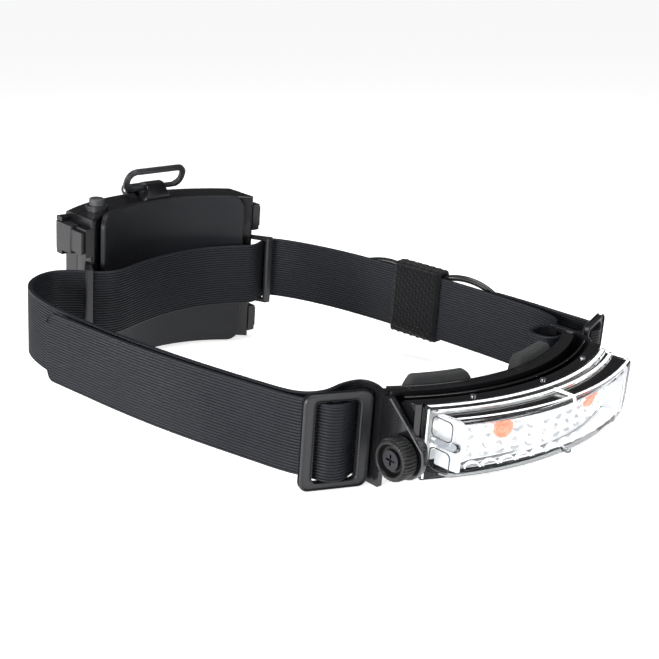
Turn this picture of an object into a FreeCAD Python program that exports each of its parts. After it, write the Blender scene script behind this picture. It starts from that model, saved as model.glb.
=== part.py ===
"""Head-band lamp with a rear battery pack, as a parametric FreeCAD document.

Everything is drawn level, about the centre of the lamp's front arc: x runs along the lamp, -y is
the way it shines, +z is up and z = 0 is the middle of the strap. The pack has its own origin, the
centre of its curved plate. At the end every piece is leaned by the same stance, so that the two
buckles and the pack's lower edge stand on z = 0.
"""
import FreeCAD, Part, Sketcher
import math
import os

V = FreeCAD.Vector
Rotation = FreeCAD.Rotation
Placement = FreeCAD.Placement

DIMENSIONS = {
    # lamp: radii about the origin, heights, half length and half angle of its arcs
    "housing_back": 109.5, "housing_front": 117.0, "housing_top": 17.3, "housing_foot": -11.2,
    "housing_wall": 2.4, "housing_half": 54.6, "lamp_angle": 60.0, "cavity_angle": 51.6,
    "lens_flange": 119.2, "lens_face": 131.0, "lens_half": 52.4, "lens_wall": 2.2,
    "lens_top": 17.2, "lens_foot": -5.6, "board_back": 113.0, "board_front": 114.2,
    "optic_top": 13.2, "optic_foot": -5.0, "optic_angle": 49.0, "cup_radius": 3.4,
    "row_high": 7.9, "row_low": 0.6, "led_count": 14, "led_pitch": 3.42, "amber_step": 3.5,
    # tilt pivot and its knobs
    "pivot_back": -103.4, "pivot_height": -1.0, "pivot_shaft": 2.0, "pivot_play": 0.05,
    "boss_end": 55.6, "boss_radius": 6.6, "insert_radius": 3.2, "insert_start": 52.7,
    "knob_radius": 8.0, "knob_inner": 59.1, "knob_outer": 65.9, "knob_recess": 5.8,
    "knurl_count": 30,
    # front bracket
    "band_inner": 102.0, "band_outer": 104.5, "band_top": 17.6, "band_foot": -12.0,
    "band_angle": 66.4, "flange_inner": 100.6, "flange_outer": 105.4, "flange_angle": 62.0,
    "cheek_inner": 55.9, "cheek_outer": 58.2, "cheek_front": -92.0, "cheek_back": -77.0,
    "cheek_half": 18.0, "slot_front": -84.8, "slot_back": -80.6, "slot_half": 15.9,
    "lug_radius": 8.8, "pad_depth": 6.0, "pad_top": 20.6, "pad_foot": -6.0, "pad_angle": 17.0,
    # strap and buckles
    "strap_width": 30.0, "strap_thick": 1.8, "buckle_long": 26.0, "buckle_tall": 37.0,
    "buckle_thick": 3.2, "window_long": 16.4, "window_tall": 31.0, "buckle_bar": 3.0,
    # battery pack: radii about its own origin
    "pack_shift": -11.0, "pack_back": 43.0, "plate_inner": 64.0, "plate_outer": 66.5,
    "plate_angle": 78.0, "plate_top": 38.0, "pack_foot": -37.0, "case_inner": 67.8,
    "case_top": 37.0, "case_floor": -36.0, "case_half": 47.0, "case_wall": 1.6,
    "parting": 78.0, "cover_inner": 78.3, "case_outer": 86.4, "cell_radius": 7.15,
    "cell_circle": 77.0, "cell_foot": -26.0, "cell_length": 49.5, "hinge_back": 80.4,
    "hinge_height": 40.2, "hinge_pin": 1.0, "latch_foot": 20.0, "latch_tall": 13.0,
    "bail_long": 34.0, "bail_tall": 12.4, "bail_wire": 1.2, "bail_back": 71.0,
    "bail_height": 42.8, "bail_lean": 25.0, "button_circle": 74.0, "button_turn": 28.0, "button_top": 42.6,
    "cable_radius": 1.5, "wrap_room": 6.4, "wrap_skin": 1.1, "wrap_foot": -17.2,
    "wrap_top": 17.8, "catch_front": 50.0, "catch_back": 58.0, "catch_reach": 3.4,
    "ear_near": 5.4, "ear_wide": 4.0, "knuckle_radius": 2.5, "case_round": 2.4,
    # stance: lowest points before leaning, and the middle of the leaned object
    "front_foot": -18.5, "front_foot_back": -87.0, "rear_foot_back": 92.7,
    "middle_across": -8.84, "middle_along": 0.3,
}

doc = FreeCAD.newDocument("Headlamp")
sheet = doc.addObject("Spreadsheet::Sheet", "dim")
for row, (alias, number) in enumerate(DIMENSIONS.items(), start=1):
    sheet.set(f"A{row}", alias)
    sheet.set(f"B{row}", str(number))
    sheet.setAlias(f"B{row}", alias)
doc.recompute()


def dim(name):
    """A driving dimension, read from the sheet."""
    return float(getattr(sheet, name))


PACK = Placement(V(dim("pack_shift"), dim("pack_back"), 0), Rotation())
LEVEL = Placement()
pieces = []


def keep(obj, label, place=LEVEL):
    """Make obj a sub-part: its label names its file, its place is given before leaning."""
    obj.Label = label
    pieces.append((obj, place))
    return obj


# ---------------------------------------------------------------- PartDesign helpers

def new_body(label, place=LEVEL):
    return keep(doc.addObject("PartDesign::Body", label), label, place)


def new_sketch(body, plane, height=None):
    """A sketch on one of the body's own origin planes, lifted by an expression."""
    sketch = body.newObject("Sketcher::SketchObject", "Sketch")
    origin = [face for face in body.Origin.OriginFeatures if face.Role == plane][0]
    sketch.AttachmentSupport = [(origin, "")]
    sketch.MapMode = "FlatFace"
    if height:
        sketch.setExpression("AttachmentOffset.Base.z", height)
    return sketch


def pin_corner(sketch, line, u, v):
    """Tie a line's first end to the sketch origin by two bound distances."""
    for kind, rule in (("DistanceX", u), ("DistanceY", v)):
        index = sketch.addConstraint(Sketcher.Constraint(kind, -1, 1, line, 1, 1.0))
        sketch.setExpression(f"Constraints[{index}]", rule)


def outline(body, plane, corners, height=None):
    """A closed outline of straight sides; each corner is a pair of expressions."""
    sketch = new_sketch(body, plane, height)
    count = len(corners)
    ring = [V(math.cos(math.tau * k / count), math.sin(math.tau * k / count), 0)
            for k in range(count)]
    for k in range(count):
        sketch.addGeometry(Part.LineSegment(ring[k], ring[(k + 1) % count]))
    for k in range(count):
        sketch.addConstraint(Sketcher.Constraint("Coincident", k, 2, (k + 1) % count, 1))
    for k, (u, v) in enumerate(corners):
        pin_corner(sketch, k, u, v)
    return sketch


def box_outline(body, plane, u_low, u_high, v_low, v_high, height=None):
    corners = [(u_low, v_low), (u_high, v_low), (u_high, v_high), (u_low, v_high)]
    return outline(body, plane, corners, height)


def disc(body, plane, u, v, radius, height=None):
    """A circle outline; centre and radius are expressions."""
    sketch = new_sketch(body, plane, height)
    sketch.addGeometry(Part.Circle(V(0, 0, 0), V(0, 0, 1), 1.0))
    for kind, rule in (("DistanceX", u), ("DistanceY", v)):
        index = sketch.addConstraint(Sketcher.Constraint(kind, -1, 1, 0, 3, 1.0))
        sketch.setExpression(f"Constraints[{index}]", rule)
    index = sketch.addConstraint(Sketcher.Constraint("Radius", 0, 1.0))
    sketch.setExpression(f"Constraints[{index}]", radius)
    return sketch


def feature(body, kind, sketch, **rules):
    """A PartDesign feature on a sketch, its numbers bound to expressions."""
    made = body.newObject(f"PartDesign::{kind}", kind)
    made.Profile = sketch
    for name, rule in rules.items():
        if isinstance(rule, str):
            made.setExpression(name, rule)
        else:
            setattr(made, name, rule)
    if kind in ("Revolution", "Groove"):
        made.ReferenceAxis = (sketch, ["V_Axis"])
        made.Midplane = True
    return made


def sweep_arc(body, corners, angle, cut=False):
    """Turn an outline in the y-z plane about the z axis, half the angle to each side."""
    sketch = outline(body, "YZ_Plane", corners)
    return feature(body, "Groove" if cut else "Revolution", sketch, Angle=angle)


def box_corners(u_low, u_high, v_low, v_high):
    return [(u_low, v_low), (u_high, v_low), (u_high, v_high), (u_low, v_high)]


def trim_ends(body, half, reach="40"):
    """Cut off what stands further than half from the middle plane, on both sides."""
    for side in ("", "-"):
        low, high = (f"{side}({half})", f"{side}({half} + 60)")
        sketch = box_outline(body, "XY_Plane", low, high, "-160", "160", f"-{reach}")
        feature(body, "Pocket", sketch, Length=f"{reach} * 2", Reversed=True)


def round_edges(body, radius, chosen):
    """Round the edges of the body's tip that the chosen() test picks."""
    doc.recompute()
    tip = body.Tip
    names = [f"Edge{k}" for k, edge in enumerate(tip.Shape.Edges, start=1) if chosen(edge)]
    made = body.newObject("PartDesign::Fillet", "Fillet")
    made.Base = (tip, names)
    made.Radius = radius
    doc.recompute()
    if not names or not made.isValid() or not made.Shape.isValid():
        raise ValueError(f"{body.Label}: the rounding of {radius} failed")
    return made


def radius_of(edge):
    """How far the middle of an edge is from the z axis."""
    half = edge.valueAt((edge.FirstParameter + edge.LastParameter) / 2)
    return math.hypot(half.x, half.y)


def long_axis(edge, axis):
    """True for a straight edge along x, y or z (axis 0, 1 or 2)."""
    ends = [vertex.Point for vertex in edge.Vertexes]
    if len(ends) != 2 or not isinstance(edge.Curve, Part.Line):
        return False
    return abs((ends[1] - ends[0]).normalize()[axis]) > 0.999


def radial(edge):
    """True for a level straight edge that points at the z axis."""
    ends = [vertex.Point for vertex in edge.Vertexes]
    if len(ends) != 2 or not isinstance(edge.Curve, Part.Line):
        return False
    way = (ends[1] - ends[0]).normalize()
    out = V(ends[0].x, ends[0].y, 0).normalize()
    return abs(way.z) < 0.01 and abs(way.dot(out)) > 0.9


# ---------------------------------------------------------------- Part helpers

def solid(label, shape, place=LEVEL):
    """A sub-part whose shape is worked out with Part's own functions."""
    obj = doc.addObject("Part::Feature", label)
    obj.Shape = shape
    return keep(obj, label, place.multiply(shape.Placement))


def rod(radius, length, start, way):
    return Part.makeCylinder(radius, length, start, way)


def tube(outer, inner, length, start, way):
    return rod(outer, length, start, way).cut(rod(inner, length, start, way))


def block(low, high):
    """A box between two corners given as number triples."""
    size = [b - a for a, b in zip(low, high)]
    return Part.makeBox(*size, V(*low))


def on_circle(radius, turn, height=0.0):
    """A point at a turn in degrees from the -y direction, positive towards +x."""
    angle = math.radians(turn)
    return V(radius * math.sin(angle), -radius * math.cos(angle), height)


def behind(radius, turn, height=0.0):
    """A point at a turn in degrees from the +y direction, positive towards +x."""
    angle = math.radians(turn)
    return V(radius * math.sin(angle), radius * math.cos(angle), height)


def rounded_run(points):
    """Straight runs joined by tangent arcs; each arc as large as its two runs allow."""
    start = points[0]
    edges = []
    radii = []
    for before, corner, after in zip(points, points[1:], points[2:]):
        back = before - corner
        ahead = after - corner
        shorter = min(back.Length, ahead.Length)
        reach = 0.45 * shorter
        turn = math.pi - back.getAngle(ahead)
        radii.append(reach / math.tan(turn / 2))
        first = corner + V(back).normalize() * reach
        last = corner + V(ahead).normalize() * reach
        inward = (V(back).normalize() + V(ahead).normalize()).normalize()
        centre = corner + inward * math.hypot(reach, radii[-1])
        middle = centre - inward * radii[-1]
        edges.append(Part.LineSegment(start, first).toShape())
        edges.append(Part.Arc(first, middle, last).toShape())
        start = last
    edges.append(Part.LineSegment(start, points[-1]).toShape())
    return Part.Wire(edges), radii


def sideways(edge, shift):
    """The same line or arc, moved to the right of its way by shift, in the level plane."""
    first = edge.valueAt(edge.FirstParameter)
    last = edge.valueAt(edge.LastParameter)
    half = edge.valueAt((edge.FirstParameter + edge.LastParameter) / 2)
    moved = []
    for at, point in ((edge.FirstParameter, first), (edge.LastParameter, last),
                      ((edge.FirstParameter + edge.LastParameter) / 2, half)):
        way = edge.tangentAt(at)
        moved.append(point + V(way.y, -way.x, 0) * shift)
    if isinstance(edge.Curve, Part.Line):
        return Part.LineSegment(moved[0], moved[1]).toShape()
    return Part.Arc(moved[0], moved[2], moved[1]).toShape()


def band(points, thick, low, high):
    """A flat strap standing on edge along a level path, from height low to high."""
    path, _ = rounded_run([V(x, y, low) for x, y in points])
    right = [sideways(edge, thick / 2) for edge in path.OrderedEdges]
    left = [sideways(edge, -thick / 2) for edge in path.OrderedEdges]
    caps = [Part.LineSegment(right[0].valueAt(right[0].FirstParameter),
                             left[0].valueAt(left[0].FirstParameter)).toShape(),
            Part.LineSegment(right[-1].valueAt(right[-1].LastParameter),
                             left[-1].valueAt(left[-1].LastParameter)).toShape()]
    loop = Part.Wire(Part.__sortEdges__(right + left + caps))
    return Part.Face(loop).extrude(V(0, 0, high - low))


def mirrored(points):
    return [(-x, y) for x, y in points]


# ---------------------------------------------------------------- lamp

def lamp_housing():
    """Rear shell of the light bar, chamfered at the back, with a pivot boss at each end."""
    body = new_body("lamp_housing")
    sweep_arc(body, [("-dim.housing_back", "dim.housing_foot + 4.2"),
                     ("-dim.housing_back - 4", "dim.housing_foot"),
                     ("-dim.housing_front", "dim.housing_foot"),
                     ("-dim.housing_front", "dim.housing_top"),
                     ("-dim.housing_back - 3", "dim.housing_top"),
                     ("-dim.housing_back", "dim.housing_top - 3")], "dim.lamp_angle")
    trim_ends(body, "dim.housing_half")
    for side in ("", "-"):
        sketch = disc(body, "YZ_Plane", "dim.pivot_back", "dim.pivot_height", "dim.boss_radius",
                      f"{side}(dim.housing_half - 3.2)")
        feature(body, "Pad", sketch, Length="dim.boss_end - dim.housing_half + 3.2",
                Reversed=side == "-")
    cavity = box_corners("-dim.housing_front - 12", "-dim.housing_back - dim.housing_wall",
                         "dim.housing_foot + 2.6", "dim.housing_top - 2.6")
    sweep_arc(body, cavity, "dim.cavity_angle", cut=True)
    for side in ("", "-"):
        front = box_outline(body, "XY_Plane", f"{side}(dim.housing_half - 3.6)",
                            f"{side}(dim.lens_half + 0.15)", "-130",
                            "-dim.housing_front * cos(dim.lamp_angle * 1deg / 2) - 2", "-20")
        sweep = feature(body, "Pocket", front, Length=40.0, Reversed=True)
        sweep.Label = "lens_end_clearance"
        bore = disc(body, "YZ_Plane", "dim.pivot_back", "dim.pivot_height",
                    "dim.insert_radius + 0.02", f"{side}(dim.insert_start - 0.1)")
        feature(body, "Pocket", bore, Length=12.0, Reversed=side == "")
    return body


def lens():
    """Clear cover: a flange against the housing and a tapering box in front, open behind."""
    body = new_body("lamp_lens")
    sweep_arc(body, [("-dim.housing_front - 0.7", "dim.housing_foot + 0.4"),
                     ("-dim.lens_flange", "dim.housing_foot + 0.4"),
                     ("-dim.lens_flange", "dim.lens_foot - 3"),
                     ("-dim.lens_face + 0.6", "dim.lens_foot"),
                     ("-dim.lens_face", "dim.lens_top - 1.4"),
                     ("-dim.lens_face + 1.6", "dim.lens_top"),
                     ("-dim.lens_flange", "dim.housing_top - 0.1"),
                     ("-dim.housing_front - 0.7", "dim.housing_top - 0.1")], "dim.lamp_angle")
    trim_ends(body, "dim.lens_half")
    sweep_arc(body, [("-dim.housing_front + 1", "dim.lens_foot - 0.4"),
                     ("-dim.lens_face + dim.lens_wall + 0.4", "dim.lens_foot + dim.lens_wall"),
                     ("-dim.lens_face + dim.lens_wall", "dim.lens_top - dim.lens_wall"),
                     ("-dim.housing_front + 1", "dim.housing_top - 2.8")],
              "dim.optic_angle - 4", cut=True)
    round_edges(body, 2.0, lambda edge: long_axis(edge, 2) and edge.CenterOfMass.y < -113)
    return body


def lamp_inside():
    """Board, reflector with a cup for each LED, LEDs and gasket, all on the same arc."""
    board = new_body("led_board")
    sweep_arc(board, box_corners("-dim.board_front", "-dim.board_back", "dim.optic_foot",
                                 "dim.optic_top"), "dim.optic_angle")
    gasket = new_body("lens_gasket")
    sweep_arc(gasket, box_corners("-dim.housing_front - 0.65", "-dim.housing_front - 0.05",
                                  "dim.housing_foot + 1", "dim.housing_top - 1"),
              "dim.optic_angle + 4")
    sweep_arc(gasket, box_corners("-dim.housing_front - 2", "-dim.housing_front + 2",
                                  "dim.housing_foot + 3", "dim.housing_top - 3"),
              "dim.optic_angle + 1.6", cut=True)

    back, front = dim("board_front") + 0.1, dim("board_front") + 4.6
    half_turn = math.degrees(math.radians(dim("optic_angle")) / 2) - 2.4
    low, high = dim("optic_foot") + 0.2, dim("optic_top") - 0.2
    slab = arc_slab(back, front, low, high, half_turn)
    spots = led_spots()
    for turn, height, _ in spots:
        narrow, wide = 1.9, dim("cup_radius")
        axis = on_circle(1, turn)
        start = on_circle(back - 0.5, turn, height)
        slab = slab.cut(Part.makeCone(narrow, wide, front - back + 1.0, start, axis))
    solid("led_reflector", slab)

    lights = {"white_leds": [], "amber_leds": []}
    for turn, height, amber in spots:
        axis = on_circle(1, turn)
        foot = on_circle(back, turn, height)
        lamp = rod(1.35, 1.2, foot, axis)
        dome = Part.makeSphere(1.3, foot + axis * 1.2)
        lights["amber_leds" if amber else "white_leds"].append(lamp.fuse(dome).removeSplitter())
    for label, shapes in lights.items():
        solid(label, Part.makeCompound(shapes))


def arc_slab(inner, outer, low, high, half_turn):
    """A slab on the front arc between two radii, half_turn degrees to each side."""
    start = Rotation(V(0, 0, 1), -90 - half_turn).multVec(V(1, 0, 0))
    corners = [start * inner + V(0, 0, low), start * outer + V(0, 0, low),
               start * outer + V(0, 0, high), start * inner + V(0, 0, high)]
    face = Part.Face(Part.makePolygon(corners + corners[:1]))
    return face.revolve(V(0, 0, 0), V(0, 0, 1), 2 * half_turn)


def led_spots():
    """Two rows of LEDs as (turn, height, amber), the amber ones in the upper row."""
    spots = []
    count = int(dim("led_count"))
    for row, height in enumerate((dim("row_high"), dim("row_low"))):
        for k in range(count):
            step = k - (count - 1) / 2
            amber = row == 0 and abs(step) == dim("amber_step")
            spots.append((step * dim("led_pitch"), height, amber))
    return spots


def housing_screws():
    """Three small screws down through the top of the housing."""
    shapes = []
    for turn in (-16.0, 1.5, 18.0):
        head = on_circle(dim("housing_back") + 4.6, turn, dim("housing_top"))
        shapes.append(rod(1.2, 0.5, head, V(0, 0, 1)))
    solid("housing_screws", Part.makeCompound(shapes))


def cable_boot():
    """Rubber boot on the lower back edge of the housing, where the cable goes in."""
    foot = on_circle(dim("housing_back") + 4.0, 15, dim("housing_foot") + 1.4)
    way = V(0.2, -0.02, -0.6).normalize()
    boot = Part.makeCone(2.4, 1.8, 3.4, foot - way * 0.6, way)
    solid("lamp_boot", boot.cut(finished("lamp_housing")))


def finished(label):
    """The shape of a piece already made, for pieces that are cut to sit on it."""
    doc.recompute()
    return [obj for obj, _ in pieces if obj.Label == label][0].Shape


# ---------------------------------------------------------------- tilt pivot

def pivot_side(name, side):
    """Insert, washer, knob and screw on one side; side is +1 to the right, -1 to the left."""
    way = V(side, 0, 0)

    def at(across):
        return V(side * across, dim("pivot_back"), dim("pivot_height"))

    bore = dim("pivot_shaft") + dim("pivot_play")
    start, end = dim("insert_start"), dim("boss_end")
    insert = tube(dim("insert_radius"), bore, end - start - 0.2, at(start), way)
    solid(f"pivot_insert_{name}", insert)
    lug = dim("cheek_outer")
    solid(f"tilt_washer_{name}", tube(5.4, bore + 0.05, 0.7, at(lug + 0.02), way))

    inner, outer = dim("knob_inner"), dim("knob_outer")
    knob = rod(dim("knob_radius"), outer - inner, at(inner), way)
    rim = [edge for edge in knob.Edges if isinstance(edge.Curve, Part.Circle)]
    knob = knob.makeChamfer(0.6, rim)
    knob = knob.cut(rod(dim("knob_recess"), 2.2, at(outer - 2.2), way))
    knob = knob.cut(rod(dim("pivot_shaft"), 12, at(inner - 1), way))
    for k in range(int(dim("knurl_count"))):
        turn = Rotation(V(1, 0, 0), 360.0 * k / dim("knurl_count"))
        groove = rod(0.42, outer - inner, at(inner) + turn.multVec(V(0, dim("knob_radius"), 0)),
                     way)
        knob = knob.cut(groove)
    solid(f"tilt_knob_{name}", knob)

    screw = rod(dim("pivot_shaft"), outer - 2.2 - start - 0.4, at(start + 0.4), way)
    head = rod(3.6, 1.4, at(outer - 2.2), way)
    screw = screw.fuse(head).removeSplitter()
    for long_y, long_z in ((2.1, 0.4), (0.4, 2.1)):
        centre = at(outer - 0.8)
        low = (min(centre.x, centre.x - side * 0.8), centre.y - long_y, centre.z - long_z)
        high = (max(centre.x, centre.x - side * 0.8) + 0.01, centre.y + long_y,
                centre.z + long_z)
        screw = screw.cut(block(low, high))
    solid(f"knob_screw_{name}", screw)


# ---------------------------------------------------------------- front bracket

def bracket():
    """Curved band with a top flange; its cheeks carry the lugs and the strap slots."""
    body = new_body("front_bracket")
    sweep_arc(body, box_corners("-dim.band_outer", "-dim.band_inner", "dim.band_foot",
                                "dim.band_top"), "dim.band_angle")
    sweep_arc(body, box_corners("-dim.flange_outer", "-dim.flange_inner", "dim.band_top - 1.6",
                                "dim.band_top"), "dim.flange_angle")
    thick = "dim.cheek_outer - dim.cheek_inner"
    reach, drop = dim("pivot_back"), dim("pivot_height")
    tip = dim("lug_radius")
    for side in ("", "-"):
        flip = side == "-"
        cheek = box_outline(body, "YZ_Plane", "dim.cheek_front", "dim.cheek_back",
                            "-dim.cheek_half", "dim.cheek_half", f"{side}dim.cheek_inner")
        feature(body, "Pad", cheek, Length=thick, Reversed=flip)
        lug = outline(body, "YZ_Plane",
                      [("dim.cheek_front + 1", "dim.band_top"),
                       ("dim.cheek_front - 2.6", "dim.band_top"),
                       (f"{reach - tip * 0.91}", f"{drop + tip * 0.42}"),
                       (f"{reach - tip * 0.2}", f"{drop - tip * 0.98}"),
                       ("dim.cheek_front + 1", "dim.band_foot")], f"{side}dim.cheek_inner")
        feature(body, "Pad", lug, Length=thick, Reversed=flip)
        end = disc(body, "YZ_Plane", "dim.pivot_back", "dim.pivot_height", "dim.lug_radius",
                   f"{side}dim.cheek_inner")
        feature(body, "Pad", end, Length=thick, Reversed=flip)
    for side in ("", "-"):
        flip = side == ""
        slot = box_outline(body, "YZ_Plane", "dim.slot_front", "dim.slot_back",
                           "-dim.slot_half", "dim.slot_half", f"{side}(dim.cheek_inner - 1)")
        feature(body, "Pocket", slot, Length=5.0, Reversed=flip)
        hole = disc(body, "YZ_Plane", "dim.pivot_back", "dim.pivot_height",
                    "dim.pivot_shaft + 0.08", f"{side}(dim.cheek_inner - 0.4)")
        feature(body, "Pocket", hole, Length=3.4, Reversed=flip)
    return body


def forehead_pads():
    """Two felt blocks stuck inside the band."""
    for name, turn in (("left", -18.6), ("right", 11.4)):
        body = new_body(f"forehead_pad_{name}", Placement(V(), Rotation(V(0, 0, 1), turn)))
        sweep_arc(body, box_corners("-dim.flange_inner + 0.1",
                                    "-dim.flange_inner + dim.pad_depth",
                                    "dim.pad_foot", "dim.pad_top"), "dim.pad_angle")
        round_edges(body, 2.0, lambda edge: radial(edge) and edge.CenterOfMass.z > 0)


# ---------------------------------------------------------------- strap and buckles

# each buckle: its middle, and its way along the strap towards the lamp
BUCKLES = {"left": (V(-71.2, -82.0, 0), V(0.9225, -0.386, 0).normalize()),
           "right": (V(76.0, -84.8, 0), V(-0.94, -0.342, 0).normalize())}


def by_buckle(name, along, out):
    """A level point near a buckle: along its face towards the lamp, and outward from it."""
    spot, way = BUCKLES[name]
    forward = V(way.y, -way.x, 0) if name == "left" else V(-way.y, way.x, 0)
    point = spot + way * along + forward * out
    return (point.x, point.y)


def through_buckle(name, start):
    """The strap's way from the cheek's slot up over the buckle's bar and down behind it."""
    steps = [(8.2, -3.6), (2.6, 2.0), (-3.4, 2.2), (-8.2, -3.8)]
    return [start] + [by_buckle(name, along, out) for along, out in steps]


U_TURN = [(-58.0, -82.8), (-48.6, -83.4), (-47.4, -71.6), (-57.0, -69.8)]
LEFT_SIDE = [(-68.4, -72.4), (-77.6, -67.4), (-82.2, -52.0), (-87.6, -31.0), (-92.6, -9.0),
             (-96.4, 13.5), (-99.0, 37.0), (-100.3, 60.0), (-97.0, 82.0), (-87.6, 94.6),
             (-75.0, 99.6), (-66.0, 94.6)]
BACK_RUN = [(-57.4, 86.4), (-49.0, 84.6), (-33.0, 90.6), (-14.0, 95.0), (5.0, 95.2),
            (20.0, 90.8), (30.6, 85.6), (37.8, 89.0)]
RIGHT_SIDE = [(45.4, 93.2), (53.6, 80.6), (61.4, 60.0), (66.6, 36.0), (70.4, 11.0),
              (73.2, -14.0), (75.2, -38.0), (75.6, -57.0), (72.4, -68.6), (65.0, -72.0)]
LEFT_OUTER = [(-81.2, -67.8), (-85.3, -52.6), (-91.2, -31.0), (-96.2, -9.0), (-100.0, 13.5),
              (-102.7, 36.0), (-104.9, 53.2)]
RIGHT_OUTER = [(81.0, -66.0), (80.3, -52.0), (79.0, -38.0), (77.2, -26.0)]


def strap():
    """One band of silicone in three runs: round the back, and doubled on each side."""
    half, thick = dim("strap_width") / 2, dim("strap_thick")
    rear = U_TURN + LEFT_SIDE + BACK_RUN + RIGHT_SIDE + mirrored(U_TURN)[::-1]
    solid("strap_rear_run", band(rear, thick, -half, half))
    left = through_buckle("left", (-58.4, -82.8)) + LEFT_OUTER
    solid("strap_left_end", band(left, thick, -half, half))
    right = through_buckle("right", (58.4, -82.8)) + RIGHT_OUTER
    solid("strap_right_end", band(right, thick, -half, half))


def buckles():
    """Slide buckles: a rounded frame with two windows either side of a sunk bar."""
    for name, (spot, towards_lamp) in BUCKLES.items():
        way = towards_lamp if name == "left" else towards_lamp * -1
        turn = Rotation(V(1, 0, 0), way)
        body = new_body(f"buckle_{name}", Placement(spot, turn))
        frame = box_outline(body, "XZ_Plane", "-dim.buckle_long / 2", "dim.buckle_long / 2",
                            "-dim.buckle_tall / 2", "dim.buckle_tall / 2")
        feature(body, "Pad", frame, Length="dim.buckle_thick", Midplane=True)
        round_edges(body, 3.2, lambda edge: long_axis(edge, 1))
        for near, far in (("dim.buckle_bar / 2", "dim.window_long / 2"),
                          ("-dim.window_long / 2", "-dim.buckle_bar / 2")):
            window = box_outline(body, "XZ_Plane", near, far, "-dim.window_tall / 2",
                                 "dim.window_tall / 2")
            feature(body, "Pocket", window, Length="dim.buckle_thick * 3", Midplane=True)
        sunk = box_outline(body, "XZ_Plane", "-dim.buckle_bar", "dim.buckle_bar",
                           "-dim.window_tall / 2", "dim.window_tall / 2", "-0.2")
        feature(body, "Pocket", sunk, Length=4.0, Reversed=True)
        round_edges(body, 0.8, lambda edge: edge.CenterOfMass.Length > 12
                    and edge.BoundBox.YLength < 0.01
                    and abs(edge.CenterOfMass.y + dim("buckle_thick") / 2) < 0.01
                    and max(abs(edge.CenterOfMass.x) / (dim("buckle_long") / 2 - 0.1),
                            abs(edge.CenterOfMass.z) / (dim("buckle_tall") / 2 - 0.1)) > 1)


# ---------------------------------------------------------------- battery pack

def pack_plate():
    """Curved comfort plate, rounded at its corners, with a mounting rib behind."""
    body = new_body("pack_plate", PACK)
    sweep_arc(body, box_corners("dim.plate_inner", "dim.plate_outer", "dim.pack_foot",
                                "dim.plate_top"), "dim.plate_angle")
    round_edges(body, 6.5, radial)
    sweep_arc(body, box_corners("dim.plate_outer - 0.5", "dim.case_inner - 0.15", "-20", "20"),
              "24")
    return body


def case_half(label, inner, outer, inner_cavity, outer_cavity, cavity_angle):
    """One half of the case: an arc with flat ends, hollowed from the parting side."""
    body = new_body(label, PACK)
    sweep_arc(body, box_corners(inner, outer, "dim.case_floor", "dim.case_top"), "100")
    trim_ends(body, "dim.case_half")
    doc.recompute()
    front = label == "pack_tray"
    side = min if front else max
    edge_circle = side(radius_of(edge) for edge in body.Tip.Shape.Edges)
    round_edges(body, dim("case_round") / (2 if front else 1),
                lambda edge: abs(radius_of(edge) - edge_circle) < 0.05)
    sweep_arc(body, box_corners(inner_cavity, outer_cavity, "dim.case_floor + dim.case_wall",
                                "dim.case_top - dim.case_wall"), cavity_angle, cut=True)
    return body


def pack_tray():
    """Front half of the case: cell bay, button hole, hinge ears, bail mount, latch catches."""
    body = case_half("pack_tray", "dim.case_inner", "dim.parting",
                     "dim.case_inner + dim.case_wall", "dim.parting + 5", "68")
    ear_foot = "dim.case_top - 1"
    for side in ("", "-"):
        near = f"{side}dim.ear_near"
        ear = outline(body, "YZ_Plane", [("dim.parting - 6", ear_foot),
                                         ("dim.parting - 1.4", ear_foot),
                                         ("dim.parting - 1.4", "dim.case_top + 0.3"),
                                         ("dim.hinge_back + 1.8", "dim.hinge_height - 1.9"),
                                         ("dim.hinge_back", "dim.hinge_height")], near)
        feature(body, "Pad", ear, Length="dim.ear_wide", Reversed=side == "-")
        knuckle = disc(body, "YZ_Plane", "dim.hinge_back", "dim.hinge_height",
                       "dim.knuckle_radius", near)
        feature(body, "Pad", knuckle, Length="dim.ear_wide", Reversed=side == "-")
        for foot in ("dim.latch_foot", "-dim.latch_foot - dim.latch_tall"):
            catch = box_outline(body, "XY_Plane", f"{side}(dim.case_half - 0.5)",
                                f"{side}(dim.case_half + dim.catch_reach)",
                                "dim.catch_front", "dim.catch_back", foot)
            feature(body, "Pad", catch, Length="dim.latch_tall")
    mount = box_outline(body, "YZ_Plane", "dim.bail_back - 3.4", "dim.bail_back + 3.4",
                        ear_foot, "dim.bail_height + 2.6", "-5")
    feature(body, "Pad", mount, Length=10.0)
    round_edges(body, 2.4, lambda edge: long_axis(edge, 0)
                and abs(edge.CenterOfMass.z - dim("bail_height") - 2.6) < 0.01
                and abs(edge.CenterOfMass.y - dim("bail_back")) < 4)
    bore = disc(body, "YZ_Plane", "dim.bail_back", "dim.bail_height", "dim.bail_wire + 0.06",
                "-8")
    feature(body, "Pocket", bore, Length=16.0, Reversed=True)
    pin = disc(body, "YZ_Plane", "dim.hinge_back", "dim.hinge_height", "dim.hinge_pin + 0.01",
               "-12")
    feature(body, "Pocket", pin, Length=24.0, Reversed=True)
    spot = button_spot()
    hole = disc(body, "XY_Plane", f"{spot.x}", f"{spot.y}", "3.6", "dim.case_top - 4")
    feature(body, "Pocket", hole, Length=12.0, Reversed=True)
    doc.recompute()
    return body


def button_spot():
    return behind(dim("button_circle"), -dim("button_turn"))


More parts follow.
